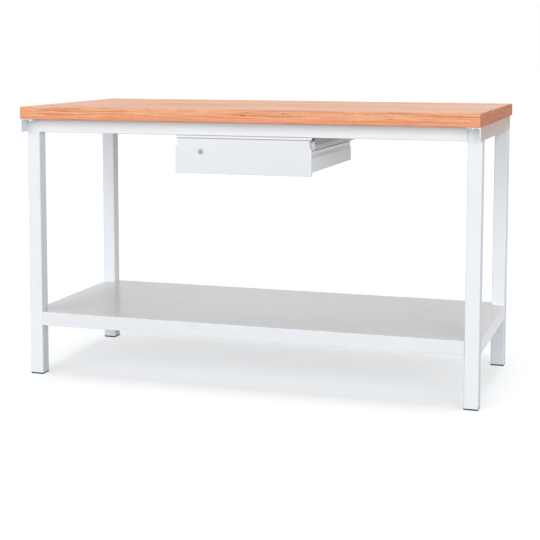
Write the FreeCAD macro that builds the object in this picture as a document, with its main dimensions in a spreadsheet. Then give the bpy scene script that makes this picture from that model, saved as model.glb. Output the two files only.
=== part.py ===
import FreeCAD, Part
import os
import Sketcher

# Assembly table: a beech multiplex top on a welded frame of square steel tube, with a folded
# steel shelf near the floor and one lockable drawer that runs on rollers under the top.
# X runs along the table, Y from the front to the rear, Z up. The origin is on the floor,
# under the middle of the top. Lengths are in millimetres.

doc = FreeCAD.newDocument("assembly_table")
Vector = FreeCAD.Vector
Rotation = FreeCAD.Rotation

# ---------------------------------------------------------------- driving sizes
SIZES = {
    # how far a cutting solid reaches past what it cuts
    "cut_past": 1,
    # top
    "top_length": 1500,
    "top_depth": 750,
    "top_thickness": 40,
    "top_edge_break": 1.5,
    "table_height": 900,
    # frame of square tube
    "tube_width": 45,
    "tube_wall": 2,
    "tube_corner": 3.5,
    "front_overhang": 50,
    "rear_overhang": 60,
    # end angles under the top
    "angle_width": 43,
    "angle_thickness": 4,
    "angle_fillet": 4,
    "angle_setback": 6,
    # feet
    "foot_height": 5,
    "foot_corner": 2,
    "foot_chamfer": 1.5,
    "plug_length": 24,
    "plug_wall": 2.5,
    "plug_play": 0.1,
    "plug_rib": 0.8,
    "plug_rib_width": 10,
    # hexagon screws that hold the top
    "screw_radius": 3,
    "screw_length": 30,
    "screw_head_width": 10,
    "screw_head_height": 4.5,
    "screw_play": 0.4,
    "screw_inset": 25,
    "screw_from_end": 24,
    "screw_from_leg": 15,
    # shelf tray
    "shelf_height": 212.5,
    "shelf_edge": 45,
    "shelf_sheet": 1.5,
    "shelf_bend": 2,
    "shelf_lip": 15,
    "hat_height": 28,
    "hat_crown": 60,
    "hat_brim": 16,
    "hat_end_gap": 4,
    # bolts of the shelf
    "bolt_radius": 4,
    "bolt_length": 15,
    "bolt_head_width": 13,
    "bolt_head_height": 5.3,
    "bolt_play": 0.1,
    "insert_width": 11,
    "insert_collar": 13.4,
    "insert_length": 14,
    # drawer front
    "panel_width": 450,
    "panel_height": 110.5,
    "panel_sheet": 1.2,
    "panel_bend": 1.1,
    "panel_return": 12,
    "panel_cut_width": 6.5,
    "panel_cut_straight": 17,
    "panel_cut_slant": 10,
    # strike channel under the front rail
    "strike_height": 7.5,
    "strike_depth": 13.5,
    "strike_sheet": 1.5,
    "strike_gap": 3,
    # drawer tray
    "tray_rear_gap": 60.8,
    "tray_sheet": 1,
    "tray_lift": 12,
    "tray_tab": 10,
    "groove_depth": 5,
    "groove_height": 22.9,
    "shoulder_width": 12.8,
    "flange_width": 9.5,
    "lip_height": 4,
    "lip_drop": 0.5,
    "back_flange": 12,
    "back_drop": 2,
    "back_play": 0.2,
    # rollers and their pins
    "roller_radius": 10,
    "roller_width": 7,
    "roller_step": 4.5,
    "roller_inset": 14,
    "pin_radius": 3,
    "pin_head_radius": 4.8,
    "pin_head_height": 1.4,
    "pin_shoulder_width": 9,
    "turning_play": 0.06,
    "side_play": 0.3,
    "running_gap": 0.3,
    # runners and hangers
    "runner_sheet": 1.5,
    "runner_rear_gap": 16,
    "runner_outset": 0.5,
    "runner_front_gap": 4,
    "runner_headroom": 0.7,
    "runner_lip": 4,
    "runner_flange": 11,
    "runner_roller_back": 8,
    "runner_window": 15,
    "runner_shoulder_gap": 2,
    "runner_lip_gap": 2,
    "stop_height": 6,
    "stop_thickness": 2,
    "stop_behind_roller": 14,
    "hanger_sheet": 2,
    "hanger_lap": 8.4,
    "hanger_flange": 27,
    "tongue_length": 21,
    "tongue_height": 7,
    "tongue_gap": 2,
    "hanger_screw_inset": 40,
    # cam lock
    "lock_from_edge": 86,
    "lock_from_top": 40.5,
    "lock_head_radius": 8.75,
    "lock_head_height": 2.5,
    "lock_barrel_radius": 7,
    "lock_barrel_length": 14,
    "lock_core_radius": 5,
    "lock_face_radius": 6.4,
    "lock_face_depth": 1.2,
    "lock_nut_width": 19,
    "lock_nut_height": 4,
    "key_slot_width": 1.6,
    "key_slot_height": 7,
    "key_slot_depth": 9,
    "tang_width": 6,
    "cam_reach": 47,
    "cam_width": 14,
    "cam_thickness": 2,
    "cam_play": 0.3,
    "cam_screw_radius": 2,
    "cam_screw_length": 8,
    "cam_screw_head_width": 7,
    "cam_screw_head_height": 2.4,
}

sheet = doc.addObject("Spreadsheet::Sheet", "sizes")
for row, (alias, value) in enumerate(SIZES.items(), start=1):
    sheet.set(f"A{row}", alias)
    sheet.set(f"B{row}", str(value))
    sheet.setAlias(f"B{row}", alias)
doc.recompute()

# ---------------------------------------------------------------- planes and lines worked out from them
END = "(sizes.top_length / 2)"
TOP_UNDER = "(sizes.table_height - sizes.top_thickness)"
FRONT = "(-sizes.top_depth / 2 + sizes.front_overhang)"
REAR = "(sizes.top_depth / 2 - sizes.rear_overhang)"
FRAME_DEPTH = "(sizes.top_depth - sizes.front_overhang - sizes.rear_overhang)"
LEG_TOP = f"({TOP_UNDER} - sizes.angle_thickness)"
LEG_LENGTH = f"({LEG_TOP} - sizes.foot_height)"
LEG_X = "(sizes.top_length / 2 - sizes.tube_width / 2)"
FRONT_LEG_Y = f"({FRONT} + sizes.tube_width / 2)"
REAR_LEG_Y = f"({REAR} - sizes.tube_width / 2)"
RAIL_UNDER = f"({TOP_UNDER} - sizes.tube_width)"
ANGLE_FRONT = "(-sizes.top_depth / 2 + sizes.angle_setback)"
SHELF_UNDER = "(sizes.shelf_height - sizes.shelf_sheet)"
SHELF_BOLT_Z = "(sizes.shelf_height - sizes.shelf_edge / 2)"

STRIKE_UNDER = f"({RAIL_UNDER} - sizes.strike_height)"
PANEL_TOP = f"({STRIKE_UNDER} - sizes.strike_gap)"
PANEL_UNDER = f"({PANEL_TOP} - sizes.panel_height)"
PANEL_BACK = f"({FRONT} + sizes.panel_sheet)"
TRAY_UNDER = f"({PANEL_UNDER} + sizes.tray_lift)"
TRAY_SIDE = "(sizes.panel_width / 2 - sizes.panel_sheet)"
TRAY_NECK = f"({TRAY_SIDE} - sizes.shoulder_width)"
LIP_TOP = f"({PANEL_TOP} - sizes.lip_drop)"
FLANGE_UNDER = f"({LIP_TOP} - sizes.lip_height)"

# The drawer's flanges run on the front rollers. The rear rollers run lower, in the runners.
FRONT_ROLLER_Z = f"({FLANGE_UNDER} - sizes.running_gap - sizes.roller_radius)"
REAR_ROLLER_Z = f"({FRONT_ROLLER_Z} - sizes.roller_step)"
RUNNER_FLOOR = f"({REAR_ROLLER_Z} - sizes.roller_radius - sizes.running_gap)"
RUNNER_UNDER = f"({RUNNER_FLOOR} - sizes.runner_sheet)"
RUNNER_CEILING = f"({REAR_ROLLER_Z} + sizes.roller_radius + sizes.runner_headroom)"
RUNNER_TOP = f"({RUNNER_CEILING} + sizes.runner_sheet)"
SHOULDER_TOP = f"({RUNNER_UNDER} - sizes.runner_shoulder_gap)"
RUNNER_OUTSIDE = "(sizes.panel_width / 2 + sizes.runner_outset)"
RUNNER_INSIDE = f"({TRAY_NECK} + sizes.runner_lip_gap)"
RUNNER_FRONT = f"({FRONT} + sizes.tube_width + sizes.runner_front_gap)"
RUNNER_REAR = f"({REAR} - sizes.tube_width - sizes.runner_rear_gap)"
TRAY_REAR = f"({RUNNER_REAR} - sizes.tray_rear_gap)"
FRONT_ROLLER_Y = f"({RUNNER_FRONT} + sizes.runner_roller_back)"
REAR_ROLLER_Y = f"({TRAY_REAR} - sizes.roller_inset)"
FRONT_ROLLER_X = f"({RUNNER_OUTSIDE} - sizes.runner_sheet - sizes.side_play)"
REAR_ROLLER_X = f"({RUNNER_INSIDE} + sizes.runner_sheet + sizes.side_play)"
STOP_TOP = f"({RUNNER_FLOOR} + sizes.stop_height)"
STOP_REACH = f"(sqrt(sizes.roller_radius ^ 2 - ({REAR_ROLLER_Z} - {STOP_TOP}) ^ 2) + sizes.running_gap)"
HANGER_OUTSIDE = f"({RUNNER_OUTSIDE} + sizes.hanger_sheet)"
HANGER_UNDER = f"({RUNNER_TOP} - sizes.hanger_lap)"
HANGER_SCREW_X = f"({HANGER_OUTSIDE} + sizes.hanger_flange / 2)"

LOCK_X = "(-sizes.panel_width / 2 + sizes.lock_from_edge)"
LOCK_Z = f"({PANEL_TOP} - sizes.lock_from_top)"
CAM_FRONT = f"({FRONT} + sizes.lock_barrel_length + sizes.cam_play)"

ALONG_X = Rotation(Vector(0, 0, 1), Vector(1, 0, 0))
AGAINST_X = Rotation(Vector(0, 0, 1), Vector(-1, 0, 0))
ALONG_Y = Rotation(Vector(0, 0, 1), Vector(0, 1, 0))
UPRIGHT = Rotation()
PLANES = {
    "XY": Rotation(),
    "XZ": Rotation(Vector(1, 0, 0), 90),
    "YZ": Rotation(Vector(1, 1, 1), 120),
}

pieces = []


# ---------------------------------------------------------------- ways of making things
def keep(thing, label):
    """Name a finished piece and put it on the list of those that are written out."""
    thing.Label = label
    pieces.append(thing)
    return thing


def place(thing, x="0", y="0", z="0", turn=UPRIGHT):
    """Put an object at a place given by sizes of the sheet."""
    thing.Placement = FreeCAD.Placement(Vector(), turn)
    for axis, expression in zip("xyz", (x, y, z)):
        thing.setExpression(f"Placement.Base.{axis}", expression)
    return thing


def draw(sketch, corners, closed=True):
    """Draw straight lines through corners whose two coordinates are expressions."""
    first = sketch.GeometryCount
    count = len(corners) if closed else len(corners) - 1
    spots = [Vector(index, index * index, 0) for index in range(len(corners))]
    for index in range(count):
        line = Part.LineSegment(spots[index], spots[(index + 1) % len(corners)])
        sketch.addGeometry(line, False)
    joints = count if closed else count - 1
    for index in range(joints):
        after = (index + 1) % count
        sketch.addConstraint(Sketcher.Constraint("Coincident", first + index, 2, first + after, 1))
    for index, (across, up) in enumerate(corners):
        line, end = (first + index, 1) if index < count else (first + index - 1, 2)
        spot = spots[index]
        for kind, start, expression in (("DistanceX", spot.x, across), ("DistanceY", spot.y, up)):
            number = sketch.addConstraint(Sketcher.Constraint(kind, -1, 1, line, end, start))
            sketch.setExpression(f"Constraints[{number}]", expression)
    return sketch


def draw_circle(sketch, radius, across="0", up="0"):
    """Draw a circle with its radius and centre from the sheet."""
    circle = sketch.addGeometry(Part.Circle(Vector(1, 1, 0), Vector(0, 0, 1), 1), False)
    number = sketch.addConstraint(Sketcher.Constraint("Radius", circle, 1))
    sketch.setExpression(f"Constraints[{number}]", radius)
    for kind, expression in (("DistanceX", across), ("DistanceY", up)):
        number = sketch.addConstraint(Sketcher.Constraint(kind, -1, 1, circle, 3, 1))
        sketch.setExpression(f"Constraints[{number}]", expression)
    return sketch


def rectangle(left, right, low, high):
    """Give the four corners of a rectangle."""
    return [(left, low), (right, low), (right, high), (left, high)]


def square(half):
    """Give the four corners of a square about the origin from half its width."""
    return rectangle(minus(half), half, minus(half), half)


def body_sketch(body, name, plane):
    """Start a sketch on one of a body's own origin planes."""
    sketch = body.newObject("Sketcher::SketchObject", name)
    base = [flat for flat in body.Origin.OriginFeatures if flat.Role == f"{plane}_Plane"][0]
    sketch.AttachmentSupport = [(base, "")]
    sketch.MapMode = "FlatFace"
    return sketch


def feature(body, kind, name, sketch, length=None, both_ways=False, backwards=False):
    """Add a pad or a pocket; without a length, a pocket goes right through."""
    made = body.newObject(f"PartDesign::{kind}", name)
    made.Profile = sketch
    made.SideType = "Symmetric" if both_ways else "One side"
    made.Reversed = backwards
    if length is None:
        made.Type = "ThroughAll"
    else:
        made.setExpression("Length", length)
    doc.recompute()
    return made


def edges_where(thing, test):
    """List the names of the edges whose two ends and middle pass a test."""
    names = []
    for number, edge in enumerate(thing.Shape.Edges, start=1):
        if test(edge):
            names.append(f"Edge{number}")
    return names


def is_along(axis):
    """Make a test for straight edges along an axis."""
    def test(edge):
        start, stop = edge.Vertexes[0].Point, edge.Vertexes[-1].Point
        return abs(abs((stop - start).dot(axis)) - edge.Length) < 1e-6 and edge.Length > 1e-6
    return test


def faces_where(thing, normal):
    """List the names of the flat faces that look along a direction."""
    names = []
    for number, face in enumerate(thing.Shape.Faces, start=1):
        if isinstance(face.Surface, Part.Plane) and face.normalAt(0, 0).dot(normal) > 0.999:
            names.append(f"Face{number}")
    return names


def dress(body, kind, name, base, edges, expression, target="Radius"):
    """Add a fillet or a chamfer to named edges."""
    made = body.newObject(f"PartDesign::{kind}", name)
    made.Base = (base, edges)
    made.setExpression(target, expression)
    doc.recompute()
    return made


def shell(body, name, base, open_faces, wall):
    """Hollow a solid to an even wall, open at the named faces."""
    made = body.newObject("PartDesign::Thickness", name)
    made.Base = (base, open_faces)
    made.setExpression("Value", wall)
    made.Reversed = True
    doc.recompute()
    return made


def solid_box(name, x, y, z):
    """Make a box from its low and high limits along each axis."""
    box = doc.addObject("Part::Box", name)
    for size, (low, high) in zip(("Length", "Width", "Height"), (x, y, z)):
        box.setExpression(size, f"({high}) - ({low})")
    return place(box, x[0], y[0], z[0])


def solid_rod(name, radius, length, start="0"):
    """Make a rod along Z from a given height."""
    rod = doc.addObject("Part::Cylinder", name)
    rod.setExpression("Radius", radius)
    rod.setExpression("Height", length)
    return place(rod, z=start)


def solid_hexagon(name, width, height, start="0"):
    """Make a hexagonal prism along Z from its width over flats."""
    prism = doc.addObject("Part::Prism", name)
    prism.Polygon = 6
    prism.setExpression("Circumradius", f"{width} / sqrt(3)")
    prism.setExpression("Height", height)
    return place(prism, z=start)


def fuse(name, solids):
    """Join solids into one."""
    joined = doc.addObject("Part::MultiFuse", name)
    joined.Shapes = solids
    return joined


def cut(name, base, tool):
    """Cut one solid or group away from another."""
    rest = doc.addObject("Part::Cut", name)
    rest.Base = base
    rest.Tool = tool
    return rest


def group_of(name, members):
    """Hold several objects together as separate solids."""
    group = doc.addObject("Part::Compound", name)
    group.Links = members
    return group


def copies(name, master, spots):
    """Set copies of one object at the given places."""
    members = []
    for x, y, z, turn in spots:
        copy = doc.addObject("App::Link", f"{name}_copy")
        copy.LinkedObject = master
        copy.LinkTransform = True
        members.append(place(copy, x, y, z, turn))
    return group_of(name, members)


def mirrored(source, label, normal=Vector(1, 0, 0)):
    """Keep the mirror image of a piece on the table's other side."""
    image = doc.addObject("Part::Mirroring", f"{label}_image")
    image.Source = source
    image.Normal = normal
    return keep(image, label)


def folded(name, plane, corners, sheet_size, side, start, length):
    """Fold sheet metal: corners follow one skin, the sheet lies to the left or right of it."""
    sketch = doc.addObject("Sketcher::SketchObject", f"{name}_skin")
    sketch.Placement = FreeCAD.Placement(Vector(), PLANES[plane])
    draw(sketch, corners, closed=False)
    section = doc.addObject("Part::Offset2D", f"{name}_section")
    section.Source = sketch
    # Seen with its first axis to the right, a YZ sketch offsets to the other side than an XZ one.
    to_left = (side == "left") == (plane == "XZ")
    section.setExpression("Value", sheet_size if to_left else f"-{sheet_size}")
    section.Mode = "Skin"
    section.Join = "Arc"
    section.Fill = True
    return extruded(name, section, plane, start, length)


def extruded(name, section, plane, start, length):
    """Stretch a flat section along the axis across its plane."""
    stretched = doc.addObject("Part::Extrusion", name)
    stretched.Base = section
    stretched.DirMode = "Custom"
    stretched.Dir = Vector(0, 1, 0) if plane == "XZ" else Vector(1, 0, 0)
    stretched.setExpression("LengthFwd", length)
    stretched.Solid = True
    if plane == "XZ":
        return place(stretched, y=start)
    return place(stretched, x=start)


def minus(expression):
    """Turn an expression's sign."""
    return f"(-{expression})"


# ---------------------------------------------------------------- frame of square tube
def square_tube(name, length):
    """Make a square tube along Z, centred on its axis, with rounded outer corners."""
    body = doc.addObject("PartDesign::Body", name)
    section = draw(body_sketch(body, f"{name}_section", "XY"), square("(sizes.tube_width / 2)"))
    bar = feature(body, "Pad", f"{name}_bar", section, length)
    long_edges = edges_where(bar, is_along(Vector(0, 0, 1)))
    dress(body, "Fillet", f"{name}_corners", bar, long_edges, "sizes.tube_corner")
    inner_half = "(sizes.tube_width / 2 - sizes.tube_wall)"
    inside = draw(body_sketch(body, f"{name}_inside", "XY"), square(inner_half))
    feature(body, "Pocket", f"{name}_hollow", inside, both_ways=True)
    return body


# The legs stand flush with the top's ends. Each is notched on the outside for the end angle, and has
# a hexagonal hole in the face towards the other side for the shelf's insert. The spots of these holes
# are on that face, turned into the leg.
insert_hole = solid_hexagon("insert_hole", "sizes.insert_width", "(sizes.tube_wall + 2 * sizes.cut_past)",
                            "(-sizes.cut_past)")
bolt_spots = []
for side_name, side, into_leg in (("left", "-1", AGAINST_X), ("right", "1", ALONG_X)):
    for end_name, leg_y in (("front", FRONT_LEG_Y), ("rear", REAR_LEG_Y)):
        tube = square_tube(f"tube_{end_name}_{side_name}", LEG_LENGTH)
        outer = f"({side} * sizes.tube_width / 2)"
        face = f"({side} * (sizes.tube_width / 2 - sizes.angle_thickness))"
        relief = f"({side} * (sizes.tube_width / 2 - sizes.angle_thickness - sizes.angle_fillet))"
        notch_low = f"({LEG_LENGTH} - sizes.angle_width + sizes.angle_thickness)"
        notch = draw(body_sketch(tube, f"notch_{end_name}_{side_name}", "XZ"),
                     [(outer, notch_low), (face, notch_low), (face, f"({LEG_LENGTH} - sizes.angle_fillet)"),
                      (relief, LEG_LENGTH), (outer, LEG_LENGTH)])
        feature(tube, "Pocket", f"notch_cut_{end_name}_{side_name}", notch, both_ways=True)
        place(tube, f"{side} * {LEG_X}", leg_y, "sizes.foot_height")
        spot = (f"{side} * ({LEG_X} - sizes.tube_width / 2)", leg_y, SHELF_BOLT_Z, into_leg)
        bolt_spots.append(spot)
        hole = copies(f"insert_hole_{end_name}_{side_name}", insert_hole, [spot])
        keep(cut(f"leg_cut_{end_name}_{side_name}", tube, hole), f"leg_{end_name}_{side_name}")

# The two rails lie between the legs, under the top, flush with the legs' outer faces.
for end_name, rail_y in (("front", FRONT_LEG_Y), ("rear", REAR_LEG_Y)):
    rail = square_tube(f"rail_tube_{end_name}", "(sizes.top_length - 2 * sizes.tube_width)")
    place(rail, f"-{END} + sizes.tube_width", rail_y, f"{TOP_UNDER} - sizes.tube_width / 2", ALONG_X)
    keep(rail, f"{end_name}_rail")


# ---------------------------------------------------------------- feet
def foot(name):
    """Make an end cap: a plate with broken edges and a hollow ribbed plug that fits the tube."""
    body = doc.addObject("PartDesign::Body", name)
    outline = draw(body_sketch(body, f"{name}_outline", "XY"), square("(sizes.tube_width / 2)"))
    plate = feature(body, "Pad", f"{name}_plate", outline, "sizes.foot_height")
    clipped = dress(body, "Chamfer", f"{name}_corners", plate, edges_where(plate, is_along(Vector(0, 0, 1))),
                    "sizes.foot_corner", "Size")
    low_edges = edges_where(clipped, lambda edge: edge.BoundBox.ZMax < 1e-6)
    dress(body, "Chamfer", f"{name}_bevel", clipped, low_edges, "sizes.foot_chamfer", "Size")
    plug = "(sizes.tube_width / 2 - sizes.tube_wall - sizes.plug_play - sizes.plug_rib)"
    bore = f"({plug} - sizes.plug_wall)"
    ring = body_sketch(body, f"{name}_plug_section", "XY")
    draw(ring, square(plug))
    draw(ring, square(bore))
    feature(body, "Pad", f"{name}_plug", ring, "(sizes.foot_height + sizes.plug_length)")
    reach = "(sizes.tube_width / 2 - sizes.tube_wall - sizes.plug_play)"
    flank = "(sizes.plug_rib_width / 2)"
    ribs = body_sketch(body, f"{name}_rib_section", "XY")
    for way in ("1", "-1"):
        inner, outer = f"({way} * {bore})", f"({way} * {reach})"
        draw(ribs, rectangle(inner, outer, minus(flank), flank))
        draw(ribs, rectangle(minus(flank), flank, inner, outer))
    feature(body, "Pad", f"{name}_ribs", ribs, "(sizes.foot_height + sizes.plug_length - sizes.plug_rib)")
    return body


for side_name, side in (("left", "-1"), ("right", "1")):
    for end_name, leg_y in (("front", FRONT_LEG_Y), ("rear", REAR_LEG_Y)):
        cap = place(foot(f"cap_{end_name}_{side_name}"), f"{side} * {LEG_X}", leg_y)
        keep(cap, f"foot_{end_name}_{side_name}")

# ---------------------------------------------------------------- end angles
# Steel angles lie on the legs: one leg of the angle under the top, the other flush outside.
angle_body = doc.addObject("PartDesign::Body", "angle_bar")
angle_section = draw(body_sketch(angle_body, "angle_section", "XZ"), [
    ("0", "0"), ("-sizes.angle_width", "0"), ("-sizes.angle_width", "-sizes.angle_thickness"),
    ("-sizes.angle_thickness", "-sizes.angle_thickness"), ("-sizes.angle_thickness", "-sizes.angle_width"),
    ("0", "-sizes.angle_width"),
])
angle_length = f"({REAR} - {ANGLE_FRONT})"
angle_pad = feature(angle_body, "Pad", "angle_pad", angle_section, angle_length, backwards=True)


def is_root(edge):
    """Find the inner corner of the angle: the long edge that is furthest from the outside."""
    middle = edge.CenterOfMass
    deep = sheet.angle_thickness + 0.01
    return is_along(Vector(0, 1, 0))(edge) and -deep < middle.x < -0.01 and -deep < middle.z < -0.01


dress(angle_body, "Fillet", "angle_root", angle_pad, edges_where(angle_pad, is_root), "sizes.angle_fillet")
place(angle_body, END, ANGLE_FRONT, TOP_UNDER)


def both_sides(x, rows, seat):
    """List the spots of upright screws, in rows that are alike on the left and the right."""
    return [(f"{side} * {x}", y, seat, UPRIGHT) for side in ("-1", "1") for y in rows]


# The screws' spots are where their heads meet the steel from below.
ANGLE_UNDER = f"({TOP_UNDER} - sizes.angle_thickness)"
angle_rows = [f"({ANGLE_FRONT} + sizes.screw_from_end)",
              f"({REAR} - sizes.tube_width - sizes.screw_from_leg)"]
angle_spots = both_sides(f"({END} - sizes.screw_inset)", angle_rows, ANGLE_UNDER)
screw_hole = solid_rod("screw_hole", "(sizes.screw_radius + sizes.screw_play)",
                       "(sizes.angle_thickness + 2 * sizes.cut_past)", "(-sizes.cut_past)")
angle_holes = copies("angle_holes", screw_hole, angle_spots)
right_angle = keep(cut("angle_drilled", angle_body, angle_holes), "end_angle_right")
mirrored(right_angle, "end_angle_left")

# ---------------------------------------------------------------- screws of the top
top_screw = fuse("top_screw", [
    solid_rod("screw_shank", "sizes.screw_radius", "sizes.screw_length"),
    solid_hexagon("screw_head", "sizes.screw_head_width", "sizes.screw_head_height",
                  "(-sizes.screw_head_height)"),
])

HANGER_SEAT = f"({TOP_UNDER} - sizes.hanger_sheet)"
hanger_rows = [f"({RUNNER_FRONT} + sizes.hanger_screw_inset)", f"({RUNNER_REAR} - sizes.hanger_screw_inset)"]
hanger_spots = both_sides(HANGER_SCREW_X, hanger_rows, HANGER_SEAT)
keep(copies("angle_screw_set", top_screw, angle_spots), "tabletop_screws")
keep(copies("hanger_screw_set", top_screw, hanger_spots), "hanger_screws")

# ---------------------------------------------------------------- tabletop
# A multiplex board with broken edges and a pilot hole over each screw.
board = doc.addObject("PartDesign::Body", "board")
half_depth = "(sizes.top_depth / 2)"
board_outline = draw(body_sketch(board, "board_outline", "XY"),
                     rectangle(minus(END), END, minus(half_depth), half_depth))
board_pad = feature(board, "Pad", "board_pad", board_outline, "sizes.top_thickness")
all_edges = edges_where(board_pad, lambda edge: True)
dress(board, "Chamfer", "board_edges", board_pad, all_edges, "sizes.top_edge_break", "Size")
place(board, z=TOP_UNDER)
pilot = solid_rod("pilot", "sizes.screw_radius", "(sizes.screw_length + sizes.screw_play)")
pilot_holes = copies("pilot_holes", pilot, angle_spots + hanger_spots)
keep(cut("board_drilled", board, pilot_holes), "tabletop")

# ---------------------------------------------------------------- shelf
# A folded tray, open below: deck, walls along every edge and round the legs, and inturned lips.
def shelf_outline(inset):
    """Give the twelve corners of the shelf, cut out round the four legs."""
    x_far = f"({END} - {inset})"
    x_near = f"({END} - sizes.tube_width - {inset})"
    y_far = f"({FRAME_DEPTH} / 2 - {inset})"
    y_near = f"({FRAME_DEPTH} / 2 - sizes.tube_width - {inset})"
    quarter = [(x_near, y_far), (x_near, y_near), (x_far, y_near)]
    corners = list(quarter)
    corners += [(x, minus(y)) for x, y in reversed(quarter)]
    corners += [(minus(x), minus(y)) for x, y in quarter]
    corners += [(minus(x), y) for x, y in reversed(quarter)]
    return corners


shelf_body = doc.addObject("PartDesign::Body", "shelf_tray")
shelf_plan = draw(body_sketch(shelf_body, "shelf_plan", "XY"), shelf_outline("0"))
deck = feature(shelf_body, "Pad", "shelf_block", shelf_plan, "sizes.shelf_edge")


def is_upper(edge):
    """Find the edges round the deck."""
    return edge.BoundBox.ZMin > sheet.shelf_edge - 1e-6


dress(shelf_body, "Fillet", "shelf_bends", deck, edges_where(deck, is_upper), "sizes.shelf_bend")
hollow = draw(body_sketch(shelf_body, "shelf_inside", "XY"), shelf_outline("sizes.shelf_sheet"))
hollow_depth = "(sizes.shelf_edge - sizes.shelf_sheet)"
feature(shelf_body, "Pocket", "shelf_hollow", hollow, hollow_depth, backwards=True)
lips = body_sketch(shelf_body, "shelf_lip_plan", "XY")
lip_x = f"({END} - sizes.tube_width - sizes.shelf_sheet - sizes.shelf_lip)"
lip_y = f"({FRAME_DEPTH} / 2 - sizes.tube_width - sizes.shelf_sheet - sizes.shelf_lip)"
wall_x = f"({END} - sizes.shelf_sheet / 2)"
wall_y = f"({FRAME_DEPTH} / 2 - sizes.shelf_sheet / 2)"
for way in ("1", "-1"):
    inner_y = f"({way} * ({FRAME_DEPTH} / 2 - sizes.shelf_sheet - sizes.shelf_lip))"
    inner_x = f"({way} * ({END} - sizes.shelf_sheet - sizes.shelf_lip))"
    draw(lips, rectangle(minus(lip_x), lip_x, f"({way} * {wall_y})", inner_y))
    draw(lips, rectangle(f"({way} * {wall_x})", inner_x, minus(lip_y), lip_y))
feature(shelf_body, "Pad", "shelf_lips", lips, "sizes.shelf_sheet")
FRAME_MIDDLE = f"(({FRONT} + {REAR}) / 2)"
place(shelf_body, y=FRAME_MIDDLE, z="(sizes.shelf_height - sizes.shelf_edge)")

# Each leg holds the shelf with a bolt that goes from inside the tray into a threaded insert.
bolt_bore = "(sizes.bolt_radius + sizes.bolt_play)"
bolt_hole = solid_rod("bolt_hole", bolt_bore, "(sizes.shelf_sheet + 2 * sizes.cut_past)",
                      "(-sizes.shelf_sheet - sizes.cut_past)")
keep(cut("shelf_drilled", shelf_body, copies("shelf_holes", bolt_hole, bolt_spots)), "shelf")

shelf_bolt = fuse("shelf_bolt", [
    solid_rod("bolt_shank", "sizes.bolt_radius", "sizes.bolt_length", "-sizes.shelf_sheet"),
    solid_hexagon("bolt_head", "sizes.bolt_head_width", "sizes.bolt_head_height",
                  "(-sizes.shelf_sheet - sizes.bolt_head_height)"),
])
keep(copies("shelf_bolt_set", shelf_bolt, bolt_spots), "shelf_bolts")

threaded_insert = cut("threaded_insert", fuse("insert_blank", [
    solid_hexagon("insert_sleeve", "sizes.insert_width", "sizes.insert_length"),
    solid_hexagon("insert_bulge", "sizes.insert_collar", "sizes.tube_wall", "sizes.tube_wall"),
]), solid_rod("insert_bore", bolt_bore, "(sizes.insert_length + 2 * sizes.cut_past)", "(-sizes.cut_past)"))
keep(copies("shelf_insert_set", threaded_insert, bolt_spots), "shelf_inserts")

# A hat profile under the deck keeps the long shelf from sagging.
brim = "(sizes.hat_crown / 2 + sizes.hat_brim)"
crown = "(sizes.hat_crown / 2)"
hat_low = f"({SHELF_UNDER} - sizes.hat_height)"
stiffener = folded("hat", "YZ", [
    (f"{FRAME_MIDDLE} - {brim}", SHELF_UNDER), (f"{FRAME_MIDDLE} - {crown}", SHELF_UNDER),
    (f"{FRAME_MIDDLE} - {crown}", hat_low), (f"{FRAME_MIDDLE} + {crown}", hat_low),
    (f"{FRAME_MIDDLE} + {crown}", SHELF_UNDER), (f"{FRAME_MIDDLE} + {brim}", SHELF_UNDER),
], "sizes.shelf_sheet", "right", f"-{END} + sizes.shelf_sheet + sizes.hat_end_gap",
    "(sizes.top_length - 2 * sizes.shelf_sheet - 2 * sizes.hat_end_gap)")
keep(stiffener, "shelf_stiffener")

# ---------------------------------------------------------------- strike channel
# An upside-down channel under the front rail. The lock's cam turns up behind its rear wall.
strike_front = f"({FRONT} + sizes.strike_sheet)"
strike_rear = f"({FRONT} + sizes.strike_depth - sizes.strike_sheet)"
strike_roof = f"({RAIL_UNDER} - sizes.strike_sheet)"
strike = folded("strike", "YZ", [
    (strike_front, STRIKE_UNDER), (strike_front, strike_roof),
    (strike_rear, strike_roof), (strike_rear, STRIKE_UNDER),
], "sizes.strike_sheet", "left", "(-sizes.panel_width / 2)", "sizes.panel_width")
keep(strike, "strike_channel")

# ---------------------------------------------------------------- hangers and runners
# The hanger is screwed to the top, hangs behind the front rail and ends in a tongue below it.
hanger_front = f"({RUNNER_FRONT} - sizes.tongue_length)"
hanger_bar = folded("hanger_bar", "XZ", [
    (f"{HANGER_OUTSIDE} + sizes.hanger_flange", HANGER_SEAT), (HANGER_OUTSIDE, HANGER_SEAT),
    (HANGER_OUTSIDE, HANGER_UNDER),
], "sizes.hanger_sheet", "right", hanger_front, f"({RUNNER_REAR} - {hanger_front})")
tongue_top = f"({RAIL_UNDER} - sizes.tongue_gap)"
tongue_low = f"({tongue_top} - sizes.tongue_height)"
before_hanger = f"({hanger_front} - sizes.cut_past)"
inside_hanger = f"({RUNNER_OUTSIDE} - sizes.cut_past)"
below_hanger = f"({HANGER_UNDER} - sizes.cut_past)"
beyond_flange = f"({HANGER_OUTSIDE} + sizes.hanger_flange + sizes.cut_past)"
above_tongue = solid_box("above_tongue", (inside_hanger, beyond_flange), (before_hanger, RUNNER_FRONT),
                         (tongue_top, f"{TOP_UNDER} + sizes.cut_past"))
slant_sketch = doc.addObject("Sketcher::SketchObject", "slant_outline")
slant_sketch.Placement = FreeCAD.Placement(Vector(), PLANES["YZ"])
draw(slant_sketch, [
    (before_hanger, tongue_low), (hanger_front, tongue_low), (FRONT_ROLLER_Y, HANGER_UNDER),
    (FRONT_ROLLER_Y, below_hanger), (before_hanger, below_hanger),
])
slant = extruded("slant", slant_sketch, "YZ", inside_hanger, "(sizes.hanger_sheet + 2 * sizes.cut_past)")
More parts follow.
